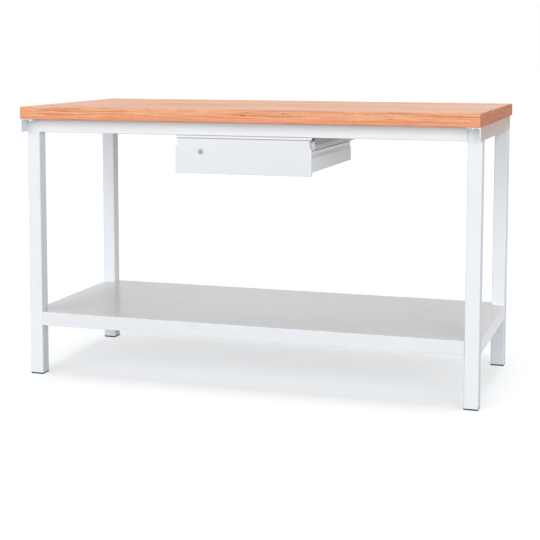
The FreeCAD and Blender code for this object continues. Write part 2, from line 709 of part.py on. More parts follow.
hanger_holes = copies("hanger_holes", screw_hole, hanger_spots)
hanger_waste = group_of("hanger_waste", [above_tongue, slant, hanger_holes])
right_hanger = keep(cut("hanger_cut", hanger_bar, hanger_waste), "drawer_hanger_right")
mirrored(right_hanger, "drawer_hanger_left")

# The runner is a C on its back: floor with a lip, web outside and a short ceiling.
runner_lip_x = f"({RUNNER_INSIDE} + sizes.runner_sheet)"
runner_web_x = f"({RUNNER_OUTSIDE} - sizes.runner_sheet)"
runner_bar = folded("runner_bar", "XZ", [
    (runner_lip_x, f"{RUNNER_FLOOR} + sizes.runner_lip"), (runner_lip_x, RUNNER_FLOOR),
    (runner_web_x, RUNNER_FLOOR), (runner_web_x, RUNNER_CEILING),
    (f"{RUNNER_OUTSIDE} - sizes.runner_flange", RUNNER_CEILING),
], "sizes.runner_sheet", "right", RUNNER_FRONT, f"({RUNNER_REAR} - {RUNNER_FRONT})")
inside_ceiling = f"({RUNNER_OUTSIDE} - sizes.runner_flange - sizes.cut_past)"
roller_gap = solid_box("roller_gap", (inside_ceiling, runner_web_x),
                       (f"{RUNNER_FRONT} - sizes.cut_past", f"{FRONT_ROLLER_Y} + sizes.runner_window"),
                       (f"{RUNNER_CEILING} - sizes.cut_past", f"{RUNNER_TOP} + sizes.cut_past"))
pin_hole = solid_rod("pin_hole", "sizes.pin_radius", "(sizes.runner_sheet + 2 * sizes.cut_past)",
                     "(-sizes.cut_past)")
front_pin_hole = copies("front_pin_hole", pin_hole, [(runner_web_x, FRONT_ROLLER_Y, FRONT_ROLLER_Z, ALONG_X)])
runner_cut = cut("runner_cut", runner_bar, group_of("runner_waste", [roller_gap, front_pin_hole]))
channel = (f"{RUNNER_INSIDE} + sizes.runner_sheet / 2", f"{RUNNER_OUTSIDE} - sizes.runner_sheet / 2")
stop_height = (f"{RUNNER_UNDER} + sizes.runner_sheet / 2", STOP_TOP)
stops = []
for name, stop_y in (("front_stop", f"({FRONT_ROLLER_Y} + sizes.stop_behind_roller)"),
                     ("rear_stop", f"({REAR_ROLLER_Y} + {STOP_REACH})")):
    stops.append(solid_box(name, channel, (stop_y, f"{stop_y} + sizes.stop_thickness"), stop_height))
right_runner = keep(fuse("runner_with_stops", [runner_cut] + stops), "runner_right")
mirrored(right_runner, "runner_left")


# ---------------------------------------------------------------- rollers and their pins
def revolved(name, corners):
    """Turn a half section, given as radius and height, about Z."""
    body = doc.addObject("PartDesign::Body", name)
    sketch = draw(body_sketch(body, f"{name}_half", "XZ"), corners)
    turned = body.newObject("PartDesign::Revolution", f"{name}_turned")
    turned.Profile = sketch
    turned.ReferenceAxis = (sketch, ["V_Axis"])
    turned.Angle = 360
    doc.recompute()
    return body


# A nylon roller, from its face on the pin's seat to its face under the head.
roller = revolved("roller", rectangle("(sizes.pin_radius + sizes.turning_play)", "sizes.roller_radius",
                                      "0", "sizes.roller_width"))
front_spot = [(FRONT_ROLLER_X, FRONT_ROLLER_Y, FRONT_ROLLER_Z, AGAINST_X)]
rear_spot = [(REAR_ROLLER_X, REAR_ROLLER_Y, REAR_ROLLER_Z, ALONG_X)]
right_front = keep(copies("front_roller", roller, front_spot), "front_roller_right")
mirrored(right_front, "front_roller_left")
right_rear = keep(copies("rear_roller", roller, rear_spot), "rear_roller_right")
mirrored(right_rear, "rear_roller_left")

# The front pin is riveted flush in the runner's web, its head on the drawer's side.
# The rear pin is riveted in the tray's neck, with a hexagonal shoulder that spaces the roller off.
head_start = "(sizes.roller_width + sizes.side_play)"
front_pin = fuse("front_pin", [
    solid_rod("front_pin_shank", "sizes.pin_radius", f"({head_start} + {RUNNER_OUTSIDE} - {FRONT_ROLLER_X})",
              f"({FRONT_ROLLER_X} - {RUNNER_OUTSIDE})"),
    solid_rod("front_pin_head", "sizes.pin_head_radius", "sizes.pin_head_height", head_start),
])
neck_inside = f"({TRAY_NECK} - sizes.tray_sheet)"
rear_pin = fuse("rear_pin", [
    solid_rod("rear_pin_shank", "sizes.pin_radius", f"({head_start} + {REAR_ROLLER_X} - {neck_inside})",
              f"({neck_inside} - {REAR_ROLLER_X})"),
    solid_hexagon("rear_pin_shoulder", "sizes.pin_shoulder_width",
                  f"({REAR_ROLLER_X} - {TRAY_NECK} - sizes.side_play)", f"({TRAY_NECK} - {REAR_ROLLER_X})"),
    solid_rod("rear_pin_head", "sizes.pin_head_radius", "sizes.pin_head_height", head_start),
])
pins_front = copies("front_pin_right", front_pin, front_spot)
pins_rear = copies("rear_pin_right", rear_pin, rear_spot)
for pins, label in ((pins_front, "front_roller_pins"), (pins_rear, "rear_roller_pins")):
    image = doc.addObject("Part::Mirroring", f"{label}_image")
    image.Source = pins
    image.Normal = Vector(1, 0, 0)
    keep(group_of(f"{label}_pair", [pins, image]), label)

# ---------------------------------------------------------------- drawer
# Half of the tray's outer skin, from the floor's middle up to the lip. Above the wide lower
# wall come a stiffening groove, the shoulder under the runner, the neck and the flange.
groove_low = f"({SHOULDER_TOP} - sizes.groove_height)"
groove_middle = f"({SHOULDER_TOP} - sizes.groove_height / 2)"
flange_end = f"({TRAY_NECK} + sizes.flange_width)"
tray_half = [
    (TRAY_SIDE, TRAY_UNDER), (TRAY_SIDE, groove_low), (f"({TRAY_SIDE} - sizes.groove_depth)", groove_middle),
    (TRAY_SIDE, SHOULDER_TOP), (TRAY_NECK, SHOULDER_TOP), (TRAY_NECK, FLANGE_UNDER),
    (flange_end, FLANGE_UNDER), (flange_end, LIP_TOP),
]
tray_skin = [(minus(x), z) for x, z in reversed(tray_half)] + tray_half
tray_bar = folded("tray_bar", "XZ", tray_skin, "sizes.tray_sheet", "left", PANEL_BACK,
                  f"({TRAY_REAR} - {PANEL_BACK})")
# Ahead of the panel's returns the neck and flanges are cut away.
tray_clip = solid_box("tray_clip", (f"-{RUNNER_OUTSIDE}", RUNNER_OUTSIDE),
                      (f"{PANEL_BACK} - sizes.cut_past", f"{FRONT} + sizes.panel_return + sizes.side_play"),
                      (f"{SHOULDER_TOP} + sizes.side_play", f"{LIP_TOP} + sizes.cut_past"))
rear_pin_hole = copies("rear_pin_hole", pin_hole, [
    (f"{TRAY_NECK} - sizes.tray_sheet", REAR_ROLLER_Y, REAR_ROLLER_Z, ALONG_X),
    (f"-{TRAY_NECK} + sizes.tray_sheet", REAR_ROLLER_Y, REAR_ROLLER_Z, AGAINST_X),
])
tray_tab = solid_box("tray_front_tab", (f"-{TRAY_NECK}", TRAY_NECK),
                     (PANEL_BACK, f"{PANEL_BACK} + sizes.tray_sheet"),
                     (f"{TRAY_UNDER} - sizes.tray_tab", f"{TRAY_UNDER} + sizes.tray_sheet"))
tray_cut = cut("tray_cut", tray_bar, group_of("tray_waste", [tray_clip, rear_pin_hole]))
keep(fuse("tray_with_tab", [tray_cut, tray_tab]), "drawer_tray")

# The back wall fills the tray's section and has a flange along its top.
inset = "(sizes.tray_sheet + sizes.back_play)"
back_top = f"({FLANGE_UNDER} - sizes.back_drop)"
back_half = [
    (f"({TRAY_SIDE} - {inset})", f"({TRAY_UNDER} + sizes.tray_sheet)"),
    (f"({TRAY_SIDE} - {inset})", groove_low),
    (f"({TRAY_SIDE} - sizes.groove_depth - {inset})", groove_middle),
    (f"({TRAY_SIDE} - sizes.groove_depth - {inset})", f"({SHOULDER_TOP} - {inset})"),
    (f"({TRAY_NECK} - sizes.tray_sheet)", f"({SHOULDER_TOP} - {inset})"),
    (f"({TRAY_NECK} - sizes.tray_sheet)", back_top),
]
back_outline = doc.addObject("Sketcher::SketchObject", "back_outline")
back_outline.Placement = FreeCAD.Placement(Vector(), PLANES["XZ"])
draw(back_outline, back_half + [(minus(x), z) for x, z in reversed(back_half)])
back_room = "(sizes.back_flange + sizes.cut_past)"
back_block = extruded("back_block", back_outline, "XZ", f"{TRAY_REAR} - {back_room}", back_room)
back_fold = folded("back_fold", "YZ", [
    (TRAY_REAR, f"{TRAY_UNDER}"), (TRAY_REAR, back_top), (f"{TRAY_REAR} - sizes.back_flange", back_top),
], "sizes.tray_sheet", "left", f"-{TRAY_SIDE}", f"2 * {TRAY_SIDE}")
back_wall = doc.addObject("Part::Common", "back_common")
back_wall.Base = back_block
back_wall.Tool = back_fold
keep(back_wall, "drawer_back")

# The front panel is a shallow pan, open at the back, with its upper corners cut away.
panel = doc.addObject("PartDesign::Body", "panel")
panel_half = "(sizes.panel_width / 2)"
panel_neck = "(sizes.panel_width / 2 - sizes.panel_cut_width)"
cut_low = f"({PANEL_TOP} - sizes.panel_cut_straight - sizes.panel_cut_slant)"
cut_high = f"({PANEL_TOP} - sizes.panel_cut_straight)"
panel_right = [(panel_half, PANEL_UNDER), (panel_half, cut_low),
               (panel_neck, cut_high), (panel_neck, PANEL_TOP)]
panel_face = draw(body_sketch(panel, "panel_face", "XZ"),
                  panel_right + [(minus(x), z) for x, z in reversed(panel_right)])
panel_block = feature(panel, "Pad", "panel_block", panel_face, "sizes.panel_return", backwards=True)
back_face = faces_where(panel_block, Vector(0, 1, 0))
panel_pan = shell(panel, "panel_pan", panel_block, back_face, "sizes.panel_sheet")
front_edges = edges_where(panel_pan, lambda edge: edge.BoundBox.YMax < 1e-6)
dress(panel, "Fillet", "panel_bends", panel_pan, front_edges, "sizes.panel_bend")
lock_hole = draw_circle(body_sketch(panel, "lock_hole", "XZ"), "sizes.lock_barrel_radius", LOCK_X, LOCK_Z)
feature(panel, "Pocket", "lock_opening", lock_hole, both_ways=True)
place(panel, y=FRONT)
keep(panel, "drawer_front")

# ---------------------------------------------------------------- cam lock
# Each piece is turned about Z, then laid along Y with its origin on the panel's face.
core_bore = "(sizes.lock_core_radius + sizes.turning_play)"
face_bore = "(sizes.lock_face_radius + sizes.turning_play)"
face_floor = "(sizes.lock_face_depth + sizes.side_play - sizes.lock_head_height)"
lock_body = revolved("lock_shell", [
    (core_bore, face_floor), (face_bore, face_floor), (face_bore, "(-sizes.lock_head_height)"),
    ("sizes.lock_head_radius", "(-sizes.lock_head_height)"), ("sizes.lock_head_radius", "0"),
    ("sizes.lock_barrel_radius", "0"),
    ("sizes.lock_barrel_radius", "sizes.lock_barrel_length"), (core_bore, "sizes.lock_barrel_length"),
])
keep(place(lock_body, LOCK_X, FRONT, LOCK_Z, ALONG_Y), "lock_body")

nut = cut("nut_cut", solid_hexagon("nut_blank", "sizes.lock_nut_width", "sizes.lock_nut_height"),
          solid_rod("nut_bore", "sizes.lock_barrel_radius", "(sizes.lock_nut_height + 2 * sizes.cut_past)",
                    "(-sizes.cut_past)"))
keep(place(nut, LOCK_X, PANEL_BACK, LOCK_Z, ALONG_Y), "lock_nut")

# The core has a key slot in its face and a square tang behind for the cam.
core_rod = solid_rod("core_rod", "sizes.lock_core_radius",
                     "(sizes.lock_head_height + sizes.lock_barrel_length + sizes.cam_play)",
                     "(-sizes.lock_head_height)")
core_face = solid_rod("core_face", "sizes.lock_face_radius", "sizes.lock_face_depth",
                      "(-sizes.lock_head_height)")
half_tang = "(sizes.tang_width / 2)"
core_back = "(sizes.lock_barrel_length + sizes.cam_play)"
tang = solid_box("tang", (minus(half_tang), half_tang), (minus(half_tang), half_tang),
                 (core_back, f"{core_back} + sizes.cam_thickness"))
key_slot = solid_box("key_slot", ("(-sizes.key_slot_width / 2)", "(sizes.key_slot_width / 2)"),
                     ("(-sizes.key_slot_height / 2)", "(sizes.key_slot_height / 2)"),
                     ("(-sizes.lock_head_height - sizes.cut_past)",
                      "(sizes.key_slot_depth - sizes.lock_head_height)"))
screw_bore = solid_rod("screw_bore", "sizes.cam_screw_radius", "(sizes.cam_screw_length + sizes.cut_past)",
                       f"({core_back} + sizes.cam_thickness - sizes.cam_screw_length)")
core_waste = group_of("core_waste", [key_slot, screw_bore])
core = cut("core_cut", fuse("core_blank", [core_rod, core_face, tang]), core_waste)
keep(place(core, LOCK_X, FRONT, LOCK_Z, ALONG_Y), "lock_cylinder")

# The cam lies level when the drawer is free, and stands behind the strike channel when locked.
half_cam = "(sizes.cam_width / 2)"
cam_arm = solid_box("cam_arm", ("0", f"(sizes.cam_reach - {half_cam})"), (minus(half_cam), half_cam),
                    ("0", "sizes.cam_thickness"))
cam_eye = solid_rod("cam_eye", half_cam, "sizes.cam_thickness")
cam_tip = place(solid_rod("cam_tip", half_cam, "sizes.cam_thickness"), x=f"(sizes.cam_reach - {half_cam})")
cam_hole = solid_box("cam_hole", (minus(half_tang), half_tang), (minus(half_tang), half_tang),
                     ("(-sizes.cut_past)", "(sizes.cam_thickness + sizes.cut_past)"))
cam = cut("cam_cut", fuse("cam_blank", [cam_eye, cam_arm, cam_tip]), cam_hole)
keep(place(cam, LOCK_X, CAM_FRONT, LOCK_Z, ALONG_Y), "lock_cam")

cam_screw = fuse("cam_screw_solid", [
    solid_rod("cam_screw_shank", "sizes.cam_screw_radius", "sizes.cam_screw_length",
              "(-sizes.cam_screw_length)"),
    solid_hexagon("cam_screw_head", "sizes.cam_screw_head_width", "sizes.cam_screw_head_height"),
])
keep(place(cam_screw, LOCK_X, f"{CAM_FRONT} + sizes.cam_thickness", LOCK_Z, ALONG_Y), "cam_screw")

# ---------------------------------------------------------------- checks and output
doc.recompute()
for thing in doc.Objects:
    bad = [state for state in thing.State if state in ("Invalid", "Error")]
    if bad:
        raise RuntimeError(f"{thing.Name} ({thing.Label}) is {bad[0]}")

shapes = {}
for thing in pieces:
    shape = thing.Shape
    if shape.isNull() or not shape.isValid() or not shape.Solids:
        raise RuntimeError(f"{thing.Label} has no valid solid")
    shapes[thing.Label] = shape

os.makedirs("parts", exist_ok=True)
for label, shape in shapes.items():
    shape.exportStep(f"parts/{label}.step")
    limits = shape.BoundBox
    print(f"{label:22s} solids {len(shape.Solids):2d}  volume {shape.Volume / 1000:9.2f} cm3  "
          f"x {limits.XMin:8.1f} {limits.XMax:8.1f}  y {limits.YMin:8.1f} {limits.YMax:8.1f}  "
          f"z {limits.ZMin:7.1f} {limits.ZMax:7.1f}")
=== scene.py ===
import math
import bmesh
import bpy
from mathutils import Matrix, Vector


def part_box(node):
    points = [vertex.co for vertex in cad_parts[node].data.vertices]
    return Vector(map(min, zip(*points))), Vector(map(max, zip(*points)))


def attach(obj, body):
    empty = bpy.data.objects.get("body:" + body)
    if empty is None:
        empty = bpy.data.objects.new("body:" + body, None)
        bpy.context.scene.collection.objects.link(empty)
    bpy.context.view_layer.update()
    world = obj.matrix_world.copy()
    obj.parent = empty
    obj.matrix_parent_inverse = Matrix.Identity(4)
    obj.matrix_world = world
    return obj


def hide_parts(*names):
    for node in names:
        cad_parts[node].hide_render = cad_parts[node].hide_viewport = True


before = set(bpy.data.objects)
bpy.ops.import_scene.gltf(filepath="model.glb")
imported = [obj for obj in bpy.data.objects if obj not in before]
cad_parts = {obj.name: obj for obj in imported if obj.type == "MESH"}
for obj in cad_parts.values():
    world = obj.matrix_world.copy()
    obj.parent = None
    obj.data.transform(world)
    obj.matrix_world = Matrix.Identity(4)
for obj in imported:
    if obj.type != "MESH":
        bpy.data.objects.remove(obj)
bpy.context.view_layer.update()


def linear(code):
    """The linear colour of an sRGB colour written as hex."""
    parts = [int(code[i:i + 2], 16) / 255 for i in (1, 3, 5)]
    return [p / 12.92 if p <= 0.04045 else ((p + 0.055) / 1.055) ** 2.4 for p in parts] + [1.0]


def every(*millimetres):
    """The scale of a pattern whose grains are so many millimetres wide, or one for each axis."""
    scales = [1000 / width for width in millimetres]
    return scales if len(scales) > 1 else scales[0]


def add(tree, kind, inputs=None, **settings):
    """One node with its settings, its plain values and its links from other nodes' sockets."""
    made = tree.nodes.new(kind)
    for name, value in settings.items():
        setattr(made, name, value)
    for name, value in (inputs or {}).items():
        if isinstance(value, bpy.types.NodeSocket):
            tree.links.new(value, made.inputs[name])
        else:
            made.inputs[name].default_value = value
    return made


def blank(name):
    """A new material, its empty node tree and the socket with the point on the piece."""
    material = bpy.data.materials.new(name)
    material.use_nodes = True
    tree = material.node_tree
    tree.nodes.clear()
    return material, tree, add(tree, "ShaderNodeTexCoord").outputs["Object"]


def coat(material, *names):
    """Gives these CAD nodes a finish."""
    for name in names:
        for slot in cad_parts[name].material_slots:
            slot.material = material


board_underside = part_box("tabletop")[0].z


def powder_coat(name, colour, tint, roughness, sheet_wave, shade_strength=0.6, shade_reach=0.008,
                shade_colour="#D2A079", ends_only=0.0, bend=0.0012):
    """Baked polyester powder: smooth and satin, with a faint orange peel. Its sharp edges are
    painted a little lighter, a painted highlight, and its tone drifts over 250 mm.
    Close under the board it is painted brown, on all faces or only on those that look outwards at
    the table's ends: a painted shade tinted by the wood's warm bounce.
    Peel is 1 to 2 mm across and is drawn 5 mm wide here, because it's too fine to show."""
    material, tree, point = blank(name)
    cloud = add(tree, "ShaderNodeTexNoise",
                {"Vector": point, "Scale": every(250), "Detail": 4.0, "Roughness": 0.6})
    peel = add(tree, "ShaderNodeTexNoise", {"Vector": point, "Scale": every(5), "Detail": 2.0})
    wave = add(tree, "ShaderNodeTexNoise",
               {"Vector": point, "Scale": every(166.67), "Detail": 1.0})
    base = add(tree, "ShaderNodeMix",
               {0: cloud.outputs[0], 6: linear(colour), 7: linear(tint)}, data_type="RGBA")
    # Where the rounded normal leaves the face's own, there is an edge.
    round_edge = add(tree, "ShaderNodeBevel", {"Radius": bend}, samples=6)
    face = add(tree, "ShaderNodeNewGeometry").outputs["Normal"]
    turned = add(tree, "ShaderNodeVectorMath",
                 {0: round_edge.outputs[0], 1: face}, operation="DOT_PRODUCT")
    edge = add(tree, "ShaderNodeMapRange",
               {0: turned.outputs["Value"], 1: 0.99, 2: 0.75, 3: 0.0, 4: 0.35})
    # Sharp edges are painted a lighter grey: a painted highlight.
    edge_highlight = add(tree, "ShaderNodeMix",
               {0: edge.outputs[0], 6: base.outputs[2], 7: linear("#F4F5F6")}, data_type="RGBA")
    place = add(tree, "ShaderNodeSeparateXYZ", {0: point}).outputs
    # Close under the board the paint turns brown: a painted shade tinted by the wood's warm bounce.
    under_board_shade = add(tree, "ShaderNodeMapRange",
              {0: place[2], 1: board_underside - shade_reach, 2: board_underside, 3: 0.0, 4: shade_strength})
    normal = add(tree, "ShaderNodeTexCoord").outputs["Normal"]
    sideways = add(tree, "ShaderNodeSeparateXYZ", {0: normal}).outputs[0]
    which_end = add(tree, "ShaderNodeMath", {0: place[0]}, operation="SIGN")
    outwards = add(tree, "ShaderNodeMath",
                   {0: sideways, 1: which_end.outputs[0]}, operation="MULTIPLY", use_clamp=True)
    where = add(tree, "ShaderNodeMix", {0: ends_only, 2: 1.0, 3: outwards.outputs[0]})
    under_board_shade_amount = add(tree, "ShaderNodeMath",
               {0: under_board_shade.outputs[0], 1: where.outputs[0]}, operation="MULTIPLY")
    shaded_under_board = add(tree, "ShaderNodeMix",
                  {0: under_board_shade_amount.outputs[0], 6: edge_highlight.outputs[2], 7: linear(shade_colour)},
                  data_type="RGBA")
    gloss = add(tree, "ShaderNodeMapRange",
                {0: peel.outputs[0], 3: roughness - 0.05, 4: roughness + 0.06})
    warped = add(tree, "ShaderNodeBump",
                 {"Height": wave.outputs[0], "Strength": 1.0, "Distance": sheet_wave,
                  "Normal": round_edge.outputs[0]})
    peeled = add(tree, "ShaderNodeBump",
                 {"Height": peel.outputs[0], "Strength": 0.25, "Distance": 0.0004,
                  "Normal": warped.outputs[0]})
    paint = add(tree, "ShaderNodeBsdfPrincipled",
                {"Base Color": shaded_under_board.outputs[2], "Roughness": gloss.outputs[0], "IOR": 1.5,
                 "Normal": peeled.outputs[0]})
    add(tree, "ShaderNodeOutputMaterial", {"Surface": paint.outputs[0]})
    return material


frame_paint = powder_coat("powder_coated_steel_tube", "#E6EAED", "#DFE4E8", 0.55, 0.0002)
coat(frame_paint, "leg_front_left", "leg_front_right", "leg_rear_left", "leg_rear_right")

# ---------------------------------------------------------------- rails and their welds
# A front and a rear rail of the same tube close the frame under the top. Each is MIG
# welded to the legs. The seams in front are ground flush before painting; those behind
# and below keep their rippled beads.
coat(frame_paint, "front_rail", "rear_rail")


def tree_with(name, *inputs):
    """A Geometry Nodes tree with named inputs, and those inputs' sockets."""
    tree = bpy.data.node_groups.new(name, "GeometryNodeTree")
    tree.interface.new_socket("Geometry", in_out="INPUT", socket_type="NodeSocketGeometry")
    for label, kind, value in inputs:
        socket = tree.interface.new_socket(label, in_out="INPUT", socket_type="NodeSocket" + kind)
        socket.default_value = value
    tree.interface.new_socket("Geometry", in_out="OUTPUT", socket_type="NodeSocketGeometry")
    return tree, tree.nodes.new("NodeGroupInput").outputs


def close(tree, geometry, material):
    """Ends a tree: real instances, a finish, and out."""
    real = add(tree, "GeometryNodeRealizeInstances", {0: geometry})
    finish = add(tree, "GeometryNodeSetMaterial",
                 {"Geometry": real.outputs[0], "Material": material})
    add(tree, "NodeGroupOutput", {"Geometry": finish.outputs[0]})


def settle(name, mesh, body):
    """Puts a finished mesh in the scene as a piece that rides on a body."""
    piece = bpy.data.objects.new(name, mesh)
    bpy.context.scene.collection.objects.link(piece)
    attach(piece, body)
    return piece


def grown(name, points, edges, tree, body, slot, **sizes):
    """Runs a tree on points and edges, and keeps what it makes as a piece."""
    mesh = bpy.data.meshes.new(name + "_seed")
    mesh.from_pydata(points, edges, [])
    seed = bpy.data.objects.new(name + "_seed", mesh)
    bpy.context.scene.collection.objects.link(seed)
    modifier = seed.modifiers.new("made", "NODES")
    modifier.node_group = tree
    for item in tree.interface.items_tree:
        if item.item_type == "SOCKET" and item.in_out == "INPUT" and item.name in sizes:
            modifier[item.identifier] = sizes[item.name]
    evaluated = seed.evaluated_get(bpy.context.evaluated_depsgraph_get())
    made = bpy.data.meshes.new_from_object(evaluated)
    bpy.data.objects.remove(seed)
    return settle(name, made, body)


bead_width = 0.005
ripple_pitch = 0.0022
bead_seed = 7
weld_tree, weld_in = tree_with("weld_bead", ("Width", "Float", bead_width),
                               ("Pitch", "Float", ripple_pitch), ("Seed", "Int", bead_seed))
seam = add(weld_tree, "GeometryNodeMeshToCurve", {"Mesh": weld_in["Geometry"]})
stops = add(weld_tree, "GeometryNodeCurveToPoints",
            {"Curve": seam.outputs[0], "Length": weld_in["Pitch"]}, mode="LENGTH")
half = add(weld_tree, "ShaderNodeMath", {0: weld_in["Width"], 1: 0.5}, operation="MULTIPLY")
drop = add(weld_tree, "GeometryNodeMeshIcoSphere", {"Radius": half.outputs[0], "Subdivisions": 2})
# Each ripple is a flattened drop, a little wider or narrower than the last.
size = add(weld_tree, "FunctionNodeRandomValue",
           {"Min": (0.88, 0.88, 0.55), "Max": (1.1, 1.1, 0.7), "Seed": weld_in["Seed"]},
           data_type="FLOAT_VECTOR")
beads = add(weld_tree, "GeometryNodeInstanceOnPoints",
            {"Points": stops.outputs["Points"], "Instance": drop.outputs[0],
             "Rotation": stops.outputs["Rotation"], "Scale": size.outputs[0]})
smooth = add(weld_tree, "GeometryNodeSetShadeSmooth", {0: beads.outputs[0]})
close(weld_tree, smooth.outputs[0], frame_paint)

below_board, above_corner, off_corner = 0.006, 0.001, 0.003
seam_points = []
for rail, hidden in (("front_rail", 1), ("rear_rail", -1)):
    low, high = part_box(rail)
    behind = high.y if hidden == 1 else low.y
    for end in (low.x, high.x):
        seam_points += [(end, behind, high.z - below_board), (end, behind, low.z + above_corner)]
        seam_points += [(end, low.y + off_corner, low.z), (end, high.y - off_corner, low.z)]
seams = [(i, i + 1) for i in range(0, len(seam_points), 2)]
grown("rail_welds", seam_points, seams, weld_tree, "table", "frame_paint",
      Width=bead_width, Pitch=ripple_pitch, Seed=bead_seed)

# ---------------------------------------------------------------- feet
# Each leg is closed by a black polyethylene cap, injection moulded and pushed into the
# tube. Its fine spark-eroded texture leaves it dull, a little greyer where it has rubbed.
# The texture's grain is 0.1 mm and is drawn 1.25 mm wide, because it's too fine to show.
foot_plastic, tree, point = blank("moulded_black_polyethylene")
grain = add(tree, "ShaderNodeTexNoise", {"Vector": point, "Scale": every(1.25), "Detail": 2.0})
rub = add(tree, "ShaderNodeTexNoise", {"Vector": point, "Scale": every(16.67), "Detail": 4.0})
black = add(tree, "ShaderNodeMix",
            {0: rub.outputs[0], 6: linear("#1C1D1F"), 7: linear("#333538")}, data_type="RGBA")
dull = add(tree, "ShaderNodeMapRange", {0: grain.outputs[0], 3: 0.5, 4: 0.65})
rough = add(tree, "ShaderNodeBump",
            {"Height": grain.outputs[0], "Strength": 0.4, "Distance": 0.0002})
plastic = add(tree, "ShaderNodeBsdfPrincipled",
              {"Base Color": black.outputs[2], "Roughness": dull.outputs[0], "IOR": 1.5,
               "Normal": rough.outputs[0]})
add(tree, "ShaderNodeOutputMaterial", {"Surface": plastic.outputs[0]})
coat(foot_plastic, "foot_front_left", "foot_front_right", "foot_rear_left", "foot_rear_right")

# ---------------------------------------------------------------- end angles
# A rolled steel angle is welded into the legs' notches across each end and coated with
# them. It runs on ahead of the front leg, so that the top can be screwed to it from below.
# The angles' outer faces are painted darker and warmer towards the board, over 120 mm: a painted
# shade tinted by the wood's warm bounce.
angle_paint = powder_coat("powder_coated_rolled_angle", "#E6EAED", "#DFE4E8", 0.55, 0.0001,
                          shade_strength=0.95, shade_reach=0.12, shade_colour="#C9A695", ends_only=1.0)
coat(angle_paint, "end_angle_left", "end_angle_right")

# ---------------------------------------------------------------- tabletop
# A 40 mm board of cross-bonded beech plies, pressed, sanded and oiled, lies on the end
# angles. Its faces show rotary-cut beech with short dark rays along the grain, and its
# edges show the plies, from pale to salmon.
low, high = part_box("tabletop")
# Real plies are 1.4 to 2 mm thick and are drawn 3.1 mm, because they're too fine to show.
ply_count = 13
ply = (high.z - low.z) / ply_count
beech, tree, point = blank("oiled_beech_multiplex")
axes = add(tree, "ShaderNodeSeparateXYZ", {0: point}).outputs
normal = add(tree, "ShaderNodeTexCoord").outputs["Normal"]
facing = add(tree, "ShaderNodeSeparateXYZ", {0: normal}).outputs
depth = add(tree, "ShaderNodeMath", {0: high.z, 1: axes[2]}, operation="SUBTRACT")
plies = add(tree, "ShaderNodeMath", {0: depth.outputs[0], 1: ply}, operation="DIVIDE")
number = add(tree, "ShaderNodeMath", {0: plies.outputs[0]}, operation="FLOOR")
part = add(tree, "ShaderNodeMath", {0: plies.outputs[0]}, operation="FRACT")
odd = add(tree, "ShaderNodeMath", {0: number.outputs[0], 1: 2.0}, operation="FLOORED_MODULO")
side_on = add(tree, "ShaderNodeMath", {0: facing[0]}, operation="ABSOLUTE")
end_face = add(tree, "ShaderNodeMath", {0: side_on.outputs[0], 1: 0.7}, operation="GREATER_THAN")
flat_on = add(tree, "ShaderNodeMath", {0: facing[2]}, operation="ABSOLUTE")
flat_face = add(tree, "ShaderNodeMath", {0: flat_on.outputs[0], 1: 0.9}, operation="GREATER_THAN")
edge_face = add(tree, "ShaderNodeMath", {0: 1.0, 1: flat_face.outputs[0]}, operation="SUBTRACT")
# On an edge every other ply is cut across its grain, and looks darker and porous.
crossed = add(tree, "ShaderNodeMath",
              {0: odd.outputs[0], 1: end_face.outputs[0]}, operation="SUBTRACT")
crosswise = add(tree, "ShaderNodeMath", {0: crossed.outputs[0]}, operation="ABSOLUTE")
cross_cut = add(tree, "ShaderNodeMath",
                {0: crosswise.outputs[0], 1: edge_face.outputs[0]}, operation="MULTIPLY")
# A point in each ply's own sheet: along its grain, across it, and through it.
along = add(tree, "ShaderNodeMix", {0: odd.outputs[0], 2: axes[0], 3: axes[1]})
across = add(tree, "ShaderNodeMix", {0: odd.outputs[0], 2: axes[1], 3: axes[0]})
shifted = add(tree, "ShaderNodeMath",
              {0: number.outputs[0], 1: 3.71, 2: along.outputs[0]}, operation="MULTIPLY_ADD")
grain_point = add(tree, "ShaderNodeCombineXYZ",
                  {0: shifted.outputs[0], 1: across.outputs[0], 2: axes[2]})
streak_at = add(tree, "ShaderNodeVectorMath",
                {0: grain_point.outputs[0], 1: every(45.455, 3.8462, 2.381)},
                operation="MULTIPLY")
streak = add(tree, "ShaderNodeTexNoise",
             {"Vector": streak_at.outputs[0], "Scale": 1.0, "Detail": 5.0, "Roughness": 0.65,
              "Distortion": 0.3})
broad_at = add(tree, "ShaderNodeVectorMath",
               {0: grain_point.outputs[0], 1: every(625, 142.86, 25)}, operation="MULTIPLY")
broad = add(tree, "ShaderNodeTexNoise",
            {"Vector": broad_at.outputs[0], "Scale": 1.0, "Detail": 3.0, "Distortion": 0.8})
# Beech rays are 0.1 to 0.5 mm wide and are drawn 1.25 mm, because they're too fine to show.
ray_at = add(tree, "ShaderNodeVectorMath",
             {0: grain_point.outputs[0], 1: every(9.0909, 1.25, 2)}, operation="MULTIPLY")
ray = add(tree, "ShaderNodeTexNoise", {"Vector": ray_at.outputs[0], "Scale": 1.0, "Detail": 1.0})
rays = add(tree, "ShaderNodeMapRange", {0: ray.outputs[0], 1: 0.62, 2: 0.72, 3: 0.0, 4: 0.3})
# Pores are under 0.1 mm and are drawn in patches of 2.4 mm, because they're too fine to show.
pore = add(tree, "ShaderNodeTexNoise",
           {"Vector": point, "Scale": every(2.381), "Detail": 3.0, "Roughness": 0.7})
